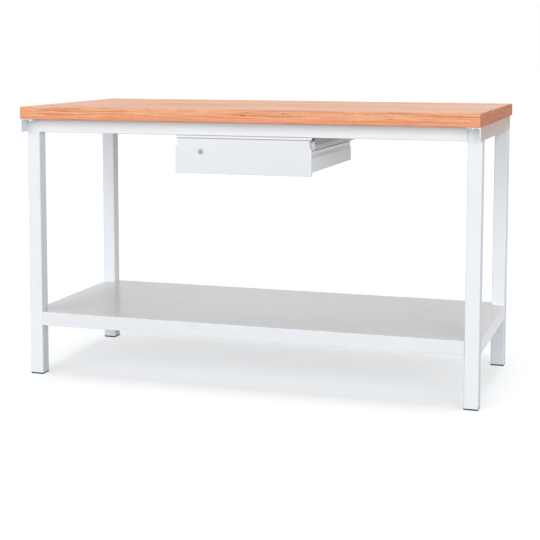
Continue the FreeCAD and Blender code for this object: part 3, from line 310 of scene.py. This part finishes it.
# The plies come from different logs and stained sapwood, so each has its own tone, which
# also drifts over half a metre along the board: brown, tan, straw, pink.
run = add(tree, "ShaderNodeMath", {0: axes[0], 1: axes[1]}, operation="ADD")
drift = add(tree, "ShaderNodeMath", {0: run.outputs[0], 1: every(526.32)}, operation="MULTIPLY")
own = add(tree, "ShaderNodeMath",
          {0: number.outputs[0], 1: 5.37, 2: drift.outputs[0]}, operation="MULTIPLY_ADD")
tone = add(tree, "ShaderNodeTexNoise",
           {"W": own.outputs[0], "Scale": 1.0, "Detail": 2.0, "Roughness": 0.6},
           noise_dimensions="1D")
log = add(tree, "ShaderNodeValToRGB", {0: tone.outputs[0]})
brown, pink = log.color_ramp.elements
brown.position, brown.color = 0.3, linear("#D3875C")
pink.position, pink.color = 0.75, linear("#EA9672")
for place, colour in ((0.42, "#E9A178"), (0.52, "#F4BA8E"), (0.62, "#EFA581")):
    log.color_ramp.elements.new(place).color = linear(colour)
# Below the middle the plies of this board are pinker heartwood.
heart = add(tree, "ShaderNodeMapRange",
            {0: depth.outputs[0], 1: ply * 8, 2: ply * 11, 3: 0.0, 4: 0.55})
sheet = add(tree, "ShaderNodeMix",
            {0: heart.outputs[0], 6: log.outputs[0], 7: linear("#EA8F6E")}, data_type="RGBA")
lined = add(tree, "ShaderNodeMapRange", {0: streak.outputs[0], 1: 0.45, 2: 0.7, 3: 0.0, 4: 0.9})
long_wood = add(tree, "ShaderNodeMix",
                {0: lined.outputs[0], 6: sheet.outputs[2], 7: linear("#BE7850")},
                data_type="RGBA")
porous = add(tree, "ShaderNodeMapRange", {0: pore.outputs[0], 1: 0.3, 2: 0.75, 3: 0.0, 4: 0.4})
end_wood = add(tree, "ShaderNodeMix",
               {0: porous.outputs[0], 6: sheet.outputs[2], 7: linear("#B8693F")},
               data_type="RGBA")
wood = add(tree, "ShaderNodeMix",
           {0: cross_cut.outputs[0], 6: long_wood.outputs[2], 7: end_wood.outputs[2]},
           data_type="RGBA")
# The board's ends are painted browner and darker than its long edges, and mottled.
mottle_at = add(tree, "ShaderNodeVectorMath",
                {0: point, 1: every(1000, 22.222, 6.6667)}, operation="MULTIPLY")
mottle = add(tree, "ShaderNodeTexNoise",
             {"Vector": mottle_at.outputs[0], "Scale": 1.0, "Detail": 3.0})
end_darkening = add(tree, "ShaderNodeMapRange",
             {0: mottle.outputs[0], 1: 0.3, 2: 0.7, 3: 0.35, 4: 0.95})
end_darkening_mask = add(tree, "ShaderNodeMath",
                 {0: end_darkening.outputs[0], 1: end_face.outputs[0]}, operation="MULTIPLY")
ends_darkened = add(tree, "ShaderNodeMix",
            {0: end_darkening_mask.outputs[0], 6: wood.outputs[2], 7: linear("#BC6339")},
            data_type="RGBA")
top_tone = add(tree, "ShaderNodeMapRange", {0: broad.outputs[0], 1: 0.3, 2: 0.7})
top_wood = add(tree, "ShaderNodeMix",
               {0: top_tone.outputs[0], 6: linear("#F9CFB4"), 7: linear("#EDB291")},
               data_type="RGBA")
top_grain = add(tree, "ShaderNodeMapRange",
                {0: streak.outputs[0], 1: 0.42, 2: 0.75, 3: 0.0, 4: 0.5})
top_lined = add(tree, "ShaderNodeMix",
                {0: top_grain.outputs[0], 6: top_wood.outputs[2], 7: linear("#D3926C")},
                data_type="RGBA")
faced = add(tree, "ShaderNodeMix",
            {0: flat_face.outputs[0], 6: ends_darkened.outputs[2], 7: top_lined.outputs[2]},
            data_type="RGBA")
rayed = add(tree, "ShaderNodeMix",
            {0: rays.outputs[0], 6: faced.outputs[2], 7: linear("#9C5A38")}, data_type="RGBA")
# Dark glue shows as a hairline between plies, in some places more than in others, and
# here and there a ply has a gap.
from_middle = add(tree, "ShaderNodeMath", {0: part.outputs[0], 1: 0.5}, operation="SUBTRACT")
near_glue = add(tree, "ShaderNodeMath", {0: from_middle.outputs[0]}, operation="ABSOLUTE")
glue = add(tree, "ShaderNodeMapRange",
           {0: near_glue.outputs[0], 1: 0.38, 2: 0.5, 3: 0.0, 4: 1.0})
thick_at = add(tree, "ShaderNodeMath", {0: tone.outputs[0], 1: streak.outputs[0]}, operation="ADD")
thick = add(tree, "ShaderNodeMapRange",
            {0: thick_at.outputs[0], 1: 0.8, 2: 1.15, 3: 0.7, 4: 0.1})
glue_seen = add(tree, "ShaderNodeMath",
                {0: glue.outputs[0], 1: thick.outputs[0]}, operation="MULTIPLY")
glue_edge = add(tree, "ShaderNodeMath",
                {0: glue_seen.outputs[0], 1: edge_face.outputs[0]}, operation="MULTIPLY")
glued = add(tree, "ShaderNodeMix",
            {0: glue_edge.outputs[0], 6: rayed.outputs[2], 7: linear("#A8613A")},
            data_type="RGBA")
gap_at = add(tree, "ShaderNodeVectorMath",
             {0: grain_point.outputs[0], 1: every(33.333, 33.333, 33.333), 2: (0.0, -7.0, 0.0)},
             operation="MULTIPLY_ADD")
gap_noise = add(tree, "ShaderNodeTexNoise",
                {"Vector": gap_at.outputs[0], "Scale": 1.0, "Detail": 0.0})
gap = add(tree, "ShaderNodeMapRange",
          {0: gap_noise.outputs[0], 1: 0.81, 2: 0.84, 3: 0.0, 4: 0.8})
gap_cut = add(tree, "ShaderNodeMath",
              {0: gap.outputs[0], 1: cross_cut.outputs[0]}, operation="MULTIPLY")
gapped = add(tree, "ShaderNodeMix",
             {0: gap_cut.outputs[0], 6: glued.outputs[2], 7: linear("#6B4128")},
             data_type="RGBA")
sheen = add(tree, "ShaderNodeMapRange", {0: streak.outputs[0], 3: 0.5, 4: 0.65})
raised = add(tree, "ShaderNodeBump",
             {"Height": streak.outputs[0], "Strength": 0.35, "Distance": 0.0003})
pit_depth = add(tree, "ShaderNodeMath", {0: cross_cut.outputs[0], 1: 0.5}, operation="MULTIPLY")
pitted = add(tree, "ShaderNodeBump",
             {"Height": pore.outputs[0], "Strength": pit_depth.outputs[0], "Distance": 0.0004,
              "Normal": raised.outputs[0]})
timber = add(tree, "ShaderNodeBsdfPrincipled",
             {"Base Color": gapped.outputs[2], "Roughness": sheen.outputs[0], "IOR": 1.45,
              "Specular IOR Level": 0.3, "Normal": pitted.outputs[0]})
add(tree, "ShaderNodeOutputMaterial", {"Surface": timber.outputs[0]})
coat(beech, "tabletop")

# ---------------------------------------------------------------- tabletop screws
# Hexagon wood screws with pressed flanges go up through the end angles into the top.
# They are cold headed steel, zinc plated and blue passivated, so they look silvery with a
# faint blue and straw cast. The crystal grain of the zinc is 0.05 mm and is drawn 1 mm wide.
zinc, tree, point = blank("zinc_plated_steel")
cast = add(tree, "ShaderNodeTexNoise", {"Vector": point, "Scale": every(11.11), "Detail": 3.0})
crystal = add(tree, "ShaderNodeTexVoronoi", {"Vector": point, "Scale": every(1)})
plated = add(tree, "ShaderNodeMix",
             {0: cast.outputs[0], 6: linear("#C9D0D8"), 7: linear("#D8D6C8")}, data_type="RGBA")
matt = add(tree, "ShaderNodeMapRange", {0: crystal.outputs[0], 3: 0.26, 4: 0.4})
grained = add(tree, "ShaderNodeBump",
              {"Height": crystal.outputs[0], "Strength": 0.2, "Distance": 0.0001})
metal = add(tree, "ShaderNodeBsdfPrincipled",
            {"Base Color": plated.outputs[2], "Metallic": 1.0, "Roughness": matt.outputs[0],
             "Normal": grained.outputs[0]})
add(tree, "ShaderNodeOutputMaterial", {"Surface": metal.outputs[0]})

across_flats = 0.01
head_height = 0.0045
shank_radius = 0.003
screw_tree, screw_in = tree_with(
    "hexagon_screw", ("Across", "Float", across_flats), ("Head", "Float", head_height),
    ("Shank", "Float", 0.03), ("Radius", "Float", shank_radius))
corner = add(screw_tree, "ShaderNodeMath",
             {0: screw_in["Across"], 1: 1 / math.sqrt(3)}, operation="MULTIPLY")
hexagon = add(screw_tree, "GeometryNodeMeshCylinder",
              {"Vertices": 6, "Radius": corner.outputs[0], "Depth": screw_in["Head"]})
# A wide cone cuts the hexagon's outer corners off round, as the heading die does.
cone_foot = add(screw_tree, "ShaderNodeMath",
                {0: screw_in["Across"], 1: 1.25}, operation="MULTIPLY")
cone_tip = add(screw_tree, "ShaderNodeMath",
               {0: screw_in["Across"], 1: 0.45}, operation="MULTIPLY")
cone = add(screw_tree, "GeometryNodeMeshCone",
           {"Vertices": 32, "Radius Top": cone_foot.outputs[0],
            "Radius Bottom": cone_tip.outputs[0], "Depth": screw_in["Head"]})
down = add(screw_tree, "ShaderNodeMath", {0: screw_in["Head"], 1: -0.5}, operation="MULTIPLY")
cone_at = add(screw_tree, "ShaderNodeCombineXYZ", {2: down.outputs[0]})
cone_set = add(screw_tree, "GeometryNodeTransform",
               {"Geometry": cone.outputs[0], "Translation": cone_at.outputs[0]})
head = add(screw_tree, "GeometryNodeMeshBoolean", operation="INTERSECT")
screw_tree.links.new(hexagon.outputs[0], head.inputs[1])
screw_tree.links.new(cone_set.outputs[0], head.inputs[1])
# The flange takes up the head's upper quarter.
flange_radius = add(screw_tree, "ShaderNodeMath",
                    {0: screw_in["Across"], 1: 0.66}, operation="MULTIPLY")
flange_height = add(screw_tree, "ShaderNodeMath",
                    {0: screw_in["Head"], 1: 0.24}, operation="MULTIPLY")
flange = add(screw_tree, "GeometryNodeMeshCylinder",
             {"Vertices": 32, "Radius": flange_radius.outputs[0],
              "Depth": flange_height.outputs[0]})
flange_up = add(screw_tree, "ShaderNodeMath",
                {0: screw_in["Head"], 1: 0.38}, operation="MULTIPLY")
flange_at = add(screw_tree, "ShaderNodeCombineXYZ", {2: flange_up.outputs[0]})
flange_set = add(screw_tree, "GeometryNodeTransform",
                 {"Geometry": flange.outputs[0], "Translation": flange_at.outputs[0]})
shank = add(screw_tree, "GeometryNodeMeshCylinder",
            {"Vertices": 12, "Radius": screw_in["Radius"], "Depth": screw_in["Shank"]})
both_long = add(screw_tree, "ShaderNodeMath",
                {0: screw_in["Head"], 1: screw_in["Shank"]}, operation="ADD")
shank_up = add(screw_tree, "ShaderNodeMath",
               {0: both_long.outputs[0], 1: 0.5}, operation="MULTIPLY")
shank_at = add(screw_tree, "ShaderNodeCombineXYZ", {2: shank_up.outputs[0]})
shank_set = add(screw_tree, "GeometryNodeTransform",
                {"Geometry": shank.outputs[0], "Translation": shank_at.outputs[0]})
whole = add(screw_tree, "GeometryNodeJoinGeometry")
for solid in (head, flange_set, shank_set):
    screw_tree.links.new(solid.outputs[0], whole.inputs[0])
screws = add(screw_tree, "GeometryNodeInstanceOnPoints",
             {"Points": screw_in["Geometry"], "Instance": whole.outputs[0]})
close(screw_tree, screws.outputs[0], zinc)


def screw_row(name, node):
    """Screws in the places of a CAD node's four screws, heads down."""
    low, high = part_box(node)
    to_corner, to_flat = across_flats / math.sqrt(3), across_flats / 2
    spots = [(x, y, low.z + head_height / 2)
             for x in (low.x + to_corner, high.x - to_corner)
             for y in (low.y + to_flat, high.y - to_flat)]
    row = grown(name, spots, [], screw_tree, "table", "zinc", Across=across_flats,
                Head=head_height, Shank=high.z - low.z - head_height, Radius=shank_radius)
    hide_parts(node)


screw_row("tabletop_screws_flanged", "tabletop_screws")

# ---------------------------------------------------------------- shelf
# The lower shelf is a tray folded from 1.5 mm sheet, notched round the legs and bolted to
# them. A hat profile is spot welded under its middle. It is coated like the frame, in a
# gloss that mirrors the legs softly; a big flat sheet is never quite flat.
shelf_paint = powder_coat("powder_coated_sheet_shelf", "#E5E8EB", "#DEE1E4", 0.22, 0.0006,
                          bend=0.003)
coat(shelf_paint, "shelf", "shelf_stiffener")
coat(zinc, "shelf_bolts", "shelf_inserts")

# ---------------------------------------------------------------- strike channel
# A light channel under the front rail, behind which the lock's cam turns. It is folded from thin
# sheet, spot welded to the rail and coated with the frame. Along the joint between them runs a thin
# grey strip: a painted shade line under the rail's rounded lower edge.
coat(frame_paint, "strike_channel")
# The strip's grey is a painted shade for the dark line under the rail.
seam_shade_finish, tree, point = blank("grey_painted_seam_shade")
smear = add(tree, "ShaderNodeTexNoise", {"Vector": point, "Scale": every(7.143), "Detail": 3.0})
grey = add(tree, "ShaderNodeMix",
           {0: smear.outputs[0], 6: linear("#8A8D91"), 7: linear("#A2A5A8")}, data_type="RGBA")
skin = add(tree, "ShaderNodeMapRange", {0: smear.outputs[0], 3: 0.5, 4: 0.75})
drawn = add(tree, "ShaderNodeBump",
            {"Height": smear.outputs[0], "Strength": 0.4, "Distance": 0.0002})
rubber = add(tree, "ShaderNodeBsdfPrincipled",
             {"Base Color": grey.outputs[2], "Roughness": skin.outputs[0], "IOR": 1.5,
              "Normal": drawn.outputs[0]})
add(tree, "ShaderNodeOutputMaterial", {"Surface": rubber.outputs[0]})


def skinned(shape, rings, capped=True):
    """Faces from each ring of points to the next, and over the first and the last ring."""
    for here, there in zip(rings, rings[1:]):
        for i in range(len(here)):
            j = (i + 1) % len(here)
            shape.faces.new((here[i], here[j], there[j], there[i]))
    if capped:
        shape.faces.new(rings[0])
        shape.faces.new(rings[-1])


def finished(name, shape, material, body):
    """Turns a closed shape's faces outwards, gives it a finish and makes it a piece."""
    bmesh.ops.recalc_face_normals(shape, faces=shape.faces)
    mesh = bpy.data.meshes.new(name)
    shape.to_mesh(mesh)
    shape.free()
    mesh.materials.append(material)
    return settle(name, mesh, body)


def strip(name, start, stop, section, waviness, body, material):
    """A long thin strip along X: its section is (y, z) points, and each step along it may
    waver a little."""
    steps = 60
    shape = bmesh.new()
    rings = []
    for step in range(steps + 1):
        x = start + (stop - start) * step / steps
        waver = waviness * math.sin(step * 1.7) * math.sin(step * 0.61)
        rings.append([shape.verts.new((x, y + waver, z)) for y, z in section])
    skinned(shape, rings)
    finished(name, shape, material, body)


low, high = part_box("strike_channel")
face, joint = low.y, high.z
# The grey strip stands 0.2 mm proud of the channel's face and is 1.4 mm high.
seam_section = [(face + 0.0006, joint + 0.0007), (face - 0.0001, joint + 0.0005),
                (face - 0.00018, joint), (face - 0.0001, joint - 0.0005),
                (face + 0.0006, joint - 0.0007)]
seam_setback = 0.002
strip("strike_shade_strip", low.x + seam_setback, high.x - seam_setback, seam_section, 0.00005,
      "table", seam_shade_finish)

# ---------------------------------------------------------------- drawer hangers
# Two folded brackets carry the drawer's runners under the top, each with two screws.
# They are coated a middle grey, darker than the frame: a painted shade for the shadow under the
# front rail.
hanger_paint = powder_coat("powder_coated_folded_hanger", "#ADAFB1", "#A4A6A9", 0.5, 0.0002,
                           shade_strength=0.3)
coat(hanger_paint, "drawer_hanger_left", "drawer_hanger_right")
screw_row("hanger_screws_flanged", "hanger_screws")

# ---------------------------------------------------------------- runners
# C-shaped runner rails, roll formed from thin strip, which the hangers carry. They are coated grey,
# darker than the drawer: a painted shade for the shadow under the front rail.
runner_paint = powder_coat("powder_coated_roll_formed_runner", "#B9BBBC", "#B0B2B4", 0.35, 0.0001)
coat(runner_paint, "runner_left", "runner_right")

# ---------------------------------------------------------------- rollers and pins
# Four rollers of turned nylon run on riveted pins, two in the runners' front ends and two on
# the drawer's rear ends. Natural nylon is milky, lets in a little light, and keeps faint rings
# from the tool. They are 0.05 mm apart and are drawn 1.1 mm, because they're too fine to show.
nylon, tree, point = blank("turned_natural_nylon")
flow = add(tree, "ShaderNodeTexNoise", {"Vector": point, "Scale": every(8.333), "Detail": 2.0})
milky = add(tree, "ShaderNodeMix",
            {0: flow.outputs[0], 6: linear("#F3F1E8"), 7: linear("#E6E3D8")}, data_type="RGBA")
lines = add(tree, "ShaderNodeTexNoise", {"Vector": point, "Scale": every(1.111), "Detail": 1.0})
waxy = add(tree, "ShaderNodeMapRange", {0: lines.outputs[0], 3: 0.32, 4: 0.45})
tooled = add(tree, "ShaderNodeBump",
             {"Height": lines.outputs[0], "Strength": 0.15, "Distance": 0.0001})
plastic = add(tree, "ShaderNodeBsdfPrincipled",
              {"Base Color": milky.outputs[2], "Roughness": waxy.outputs[0], "IOR": 1.53,
               "Subsurface Weight": 0.3, "Subsurface Radius": (0.002, 0.002, 0.0018),
               "Subsurface Scale": 1.0, "Normal": tooled.outputs[0]})
add(tree, "ShaderNodeOutputMaterial", {"Surface": plastic.outputs[0]})

bore = 0.003
tread_bevel = 0.0006
web_depth = 0.0014
turning_steps = 48
for end in ("front", "rear"):
    for side in ("left", "right"):
        node = f"{end}_roller_{side}"
        low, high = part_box(node)
        centre = (low + high) / 2
        half_width = (high.x - low.x) / 2
        radius = (high.z - low.z) / 2
        # From the tread over the rim, the sunk web and the hub to the bore: how far in
        # from the roller's face, and how far from its axis.
        cheek = [(tread_bevel, radius), (0, radius - tread_bevel), (0, 0.0078),
                 (0.0004, 0.0074), (web_depth, 0.0072), (web_depth, 0.0046),
                 (0.0004, 0.0044), (0, 0.0042), (0, bore)]
        profile = [(half_width - inset, reach) for inset, reach in cheek]
        profile += [(-across, reach) for across, reach in reversed(profile)]
        shape = bmesh.new()
        rings = []
        for step in range(turning_steps):
            angle = 2 * math.pi * step / turning_steps
            rings.append([shape.verts.new((centre.x + across, centre.y + reach * math.cos(angle),
                                           centre.z + reach * math.sin(angle)))
                          for across, reach in profile])
        skinned(shape, rings + rings[:1], capped=False)
        roller = finished(node + "_turned", shape, nylon, f"roller_{end}_{side}")
        for face in roller.data.polygons:
            face.use_smooth = True
        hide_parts(node)
coat(zinc, "front_roller_pins", "rear_roller_pins")

# ---------------------------------------------------------------- drawer
# One sheet makes the drawer's bottom and its profiled sides. The back is spot welded in,
# and the panel is hooked on in front. All of it is coated as one piece.
drawer_paint = powder_coat("powder_coated_drawer_sheet", "#DFE2E6", "#D8DCE0", 0.32, 0.0003)
coat(drawer_paint, "drawer_tray", "drawer_back", "drawer_front")

# ---------------------------------------------------------------- panel brackets
# Behind each end of the panel a short folded bracket joins it to the drawer's side, in
# front of the runner. It is stamped from 0.9 mm sheet, riveted and coated with the drawer.
# A tab on its front end closes the way past the neck of the drawer's side.
panel_low, panel_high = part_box("drawer_front")
runner_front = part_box("runner_right")[0].y
bracket_sheet = 0.0009
bracket_play = 0.0002
bracket_corner = 0.003
bracket_front = panel_low.y + 0.017
bracket_rear = runner_front - 0.003
bracket_low = 0.7745
bracket_high = panel_high.z - 0.0006
tab_from_middle = 0.2115
tab_high = 0.799
rivet_inset = 0.007
rivet_steps = 16
# The two rear corners are rounded: the arc gives shares of the corner's radius.
arc = [(1 - math.sin(math.radians(a)), 1 - math.cos(math.radians(a))) for a in range(0, 91, 15)]
outline = [(bracket_front, bracket_low), (bracket_front, bracket_high)]
outline += [(bracket_rear - bracket_corner * s, bracket_high - bracket_corner * c) for s, c in arc]
outline += [(bracket_rear - bracket_corner * c, bracket_low + bracket_corner * s) for s, c in arc]
tab_outline = [(bracket_front, bracket_low), (bracket_front, tab_high),
               (bracket_front + bracket_sheet, tab_high),
               (bracket_front + bracket_sheet, bracket_low)]
for side, label in ((-1, "left"), (1, "right")):
    outer = side * (panel_high.x - bracket_play)
    inner = side * (panel_high.x - bracket_play - bracket_sheet)
    shape = bmesh.new()
    skinned(shape, [[shape.verts.new((x, y, z)) for y, z in outline] for x in (inner, outer)])
    skinned(shape, [[shape.verts.new((x, y, z)) for y, z in tab_outline]
                    for x in (side * tab_from_middle, inner)])
    # Two flat rivet heads stand on its outer face.
    rivet_y = (panel_high.y + bracket_rear) / 2
    for rivet_z in (bracket_low + rivet_inset, bracket_high - rivet_inset):
        skinned(shape, [
            [shape.verts.new((outer + side * stand, rivet_y + reach * math.cos(turn),
                              rivet_z + reach * math.sin(turn)))
             for turn in [2 * math.pi * step / rivet_steps for step in range(rivet_steps)]]
            for reach, stand in ((0.0026, 0.0), (0.0022, 0.00012), (0.0012, 0.00018))])
    finished("panel_bracket_" + label, shape, drawer_paint, "drawer")

# ---------------------------------------------------------------- panel's buffer strip
# A pale strip of soft extruded rubber, glued on the panel's upper flange. It takes the
# rattle out of the closed drawer and leaves a gap of 1 mm under the strike channel.
# The die's drag lines are 0.2 mm wide and are drawn 3.3 mm, being too fine to show.
buffer_rubber, tree, point = blank("extruded_pale_rubber")
drag = add(tree, "ShaderNodeTexNoise", {"Vector": point, "Scale": every(3.333), "Detail": 3.0})
pale_grey = add(tree, "ShaderNodeMix",
                {0: drag.outputs[0], 6: linear("#C9CCCE"), 7: linear("#B9BCBF")},
                data_type="RGBA")
flat_sheen = add(tree, "ShaderNodeMapRange", {0: drag.outputs[0], 3: 0.6, 4: 0.8})
dragged = add(tree, "ShaderNodeBump",
              {"Height": drag.outputs[0], "Strength": 0.3, "Distance": 0.0001})
rubber = add(tree, "ShaderNodeBsdfPrincipled",
             {"Base Color": pale_grey.outputs[2], "Roughness": flat_sheen.outputs[0], "IOR": 1.5,
              "Normal": dragged.outputs[0]})
add(tree, "ShaderNodeOutputMaterial", {"Surface": rubber.outputs[0]})
buffer_front = panel_low.y + 0.0006
buffer_rear = buffer_front + 0.0064
buffer_foot = panel_high.z - 0.0002
buffer_top = panel_high.z + 0.0019
buffer_edge = 0.0004
buffer_section = [(buffer_front, buffer_foot), (buffer_front, buffer_top - 0.0005),
                  (buffer_front + buffer_edge, buffer_top), (buffer_rear - buffer_edge, buffer_top),
                  (buffer_rear, buffer_top - 0.0005), (buffer_rear, buffer_foot)]
buffer_setback = 0.003
strip("drawer_buffer", panel_low.x + buffer_setback, panel_high.x - buffer_setback,
      buffer_section, 0.0, "drawer", buffer_rubber)

# ---------------------------------------------------------------- cam lock
# A cam lock: body and cylinder of die-cast zinc, plated with dull nickel, clamped by a
# pressed nut, with a steel cam on a screw. Keys and fingers leave fine rings round the
# slot. The rings are 0.1 mm apart and are drawn 0.45 mm, because they're too fine to show.
low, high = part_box("lock_body")
lock_centre = (low + high) / 2
nickel, tree, point = blank("nickel_plated_die_cast_zinc")
from_centre = add(tree, "ShaderNodeVectorMath", {0: point, 1: lock_centre}, operation="SUBTRACT")
apart = add(tree, "ShaderNodeVectorMath",
            {0: from_centre.outputs[0], 1: (1.0, 0.0, 1.0)}, operation="MULTIPLY")
reach = add(tree, "ShaderNodeVectorMath", {0: apart.outputs[0]}, operation="LENGTH")
ring_at = add(tree, "ShaderNodeCombineXYZ", {0: reach.outputs["Value"]})
rings = add(tree, "ShaderNodeTexNoise",
            {"Vector": ring_at.outputs[0], "Scale": every(0.45455), "Detail": 2.0})
handled = add(tree, "ShaderNodeTexNoise",
              {"Vector": point, "Scale": every(3.3333), "Detail": 3.0})
bright = add(tree, "ShaderNodeMix",
             {0: handled.outputs[0], 6: linear("#9C9FA2"), 7: linear("#828588")},
             data_type="RGBA")
polish = add(tree, "ShaderNodeMapRange", {0: rings.outputs[0], 3: 0.25, 4: 0.42})
ringed = add(tree, "ShaderNodeBump",
             {"Height": rings.outputs[0], "Strength": 0.2, "Distance": 0.0001})
metal = add(tree, "ShaderNodeBsdfPrincipled",
            {"Base Color": bright.outputs[2], "Metallic": 1.0, "Roughness": polish.outputs[0],
             "Normal": ringed.outputs[0]})
add(tree, "ShaderNodeOutputMaterial", {"Surface": metal.outputs[0]})
coat(nickel, "lock_body", "lock_cylinder")
coat(zinc, "lock_nut", "lock_cam", "cam_screw")

# ---------------------------------------------------------------- floor, light and camera
# A white studio floor under even light: one wide soft light from straight above, which
# draws the shadow on the floor, three low ones from the front, and a white room that
# lights the back.
floor_reach = 60
floor_mesh = bpy.data.meshes.new("floor")
floor_mesh.from_pydata([(-floor_reach, -floor_reach, 0), (floor_reach, -floor_reach, 0),
                        (floor_reach, floor_reach, 0), (-floor_reach, floor_reach, 0)],
                       [], [(0, 1, 2, 3)])
floor = bpy.data.objects.new("floor", floor_mesh)
bpy.context.scene.collection.objects.link(floor)


def looked_at(tree):
    """1 where the camera looks, straight, in gloss or through glass, and 0 for other light."""
    seen = add(tree, "ShaderNodeLightPath").outputs
    straight = add(tree, "ShaderNodeMath",
                   {0: seen["Is Camera Ray"], 1: seen["Is Glossy Ray"]}, operation="ADD")
    return add(tree, "ShaderNodeMath",
               {0: straight.outputs[0], 1: seen["Is Transmission Ray"]},
               operation="ADD", use_clamp=True).outputs[0]


floor_white, tree, point = blank("white_studio_floor")
lift = add(tree, "ShaderNodeMath", {0: looked_at(tree), 1: 0.525}, operation="MULTIPLY")
matt_floor = add(tree, "ShaderNodeBsdfDiffuse", {"Color": linear("#CDD0D3")})
glow = add(tree, "ShaderNodeEmission",
           {"Color": linear("#FFFFFF"), "Strength": lift.outputs[0]})
both = add(tree, "ShaderNodeAddShader", {0: matt_floor.outputs[0], 1: glow.outputs[0]})
add(tree, "ShaderNodeOutputMaterial", {"Surface": both.outputs[0]})
floor_mesh.materials.append(floor_white)

room = bpy.data.worlds.new("white_room")
bpy.context.scene.world = room
room.use_nodes = True
tree = room.node_tree
tree.nodes.clear()
sky = add(tree, "ShaderNodeTexCoord").outputs["Generated"]
from_behind = add(tree, "ShaderNodeVectorMath",
                  {0: sky, 1: (0.0, 0.995, 0.1)}, operation="DOT_PRODUCT")
behind = add(tree, "ShaderNodeMath",
             {0: from_behind.outputs["Value"], 1: 0.0}, operation="MAXIMUM")
even = add(tree, "ShaderNodeMath",
           {0: behind.outputs[0], 1: 0.65, 2: 0.1}, operation="MULTIPLY_ADD")
strength = add(tree, "ShaderNodeMix", {0: looked_at(tree), 2: even.outputs[0], 3: 1.0})
white = add(tree, "ShaderNodeBackground",
            {"Color": linear("#FFFFFF"), "Strength": strength.outputs[0]})
add(tree, "ShaderNodeOutputWorld", {"Surface": white.outputs[0]})


def soft_light(name, strength, spread, towards):
    """A far, wide light that shines in one direction."""
    lamp = bpy.data.lights.new(name, "SUN")
    lamp.energy = strength
    lamp.angle = math.radians(spread)
    holder = bpy.data.objects.new(name, lamp)
    holder.rotation_mode = "QUATERNION"
    holder.rotation_quaternion = Vector(towards).to_track_quat("-Z", "Y")
    bpy.context.scene.collection.objects.link(holder)


soft_light("overhead_softbox", 1.0, 16, (0.0, 0.02, -1.0))
soft_light("front_softbox", 0.45, 40, (0.05, 0.95, -0.25))
soft_light("front_right_softbox", 1.75, 45, (-0.6, 0.75, -0.2))
soft_light("front_left_softbox", 1.2, 45, (0.5, 0.8, -0.3))

look_down, look_left = math.radians(5.74), math.radians(18.19)
camera_data = bpy.data.cameras.new("camera")
camera_data.lens = 87.97
camera_data.shift_x = 0.0407
camera_data.shift_y = -0.1667
camera = bpy.data.objects.new("camera", camera_data)
camera.location = (1.30556, -4.23952, 1.09283)
camera.rotation_euler = (math.radians(90) - look_down, 0.0, look_left)
bpy.context.scene.collection.objects.link(camera)
bpy.context.scene.camera = camera
bpy.context.scene.view_settings.view_transform = "Standard"
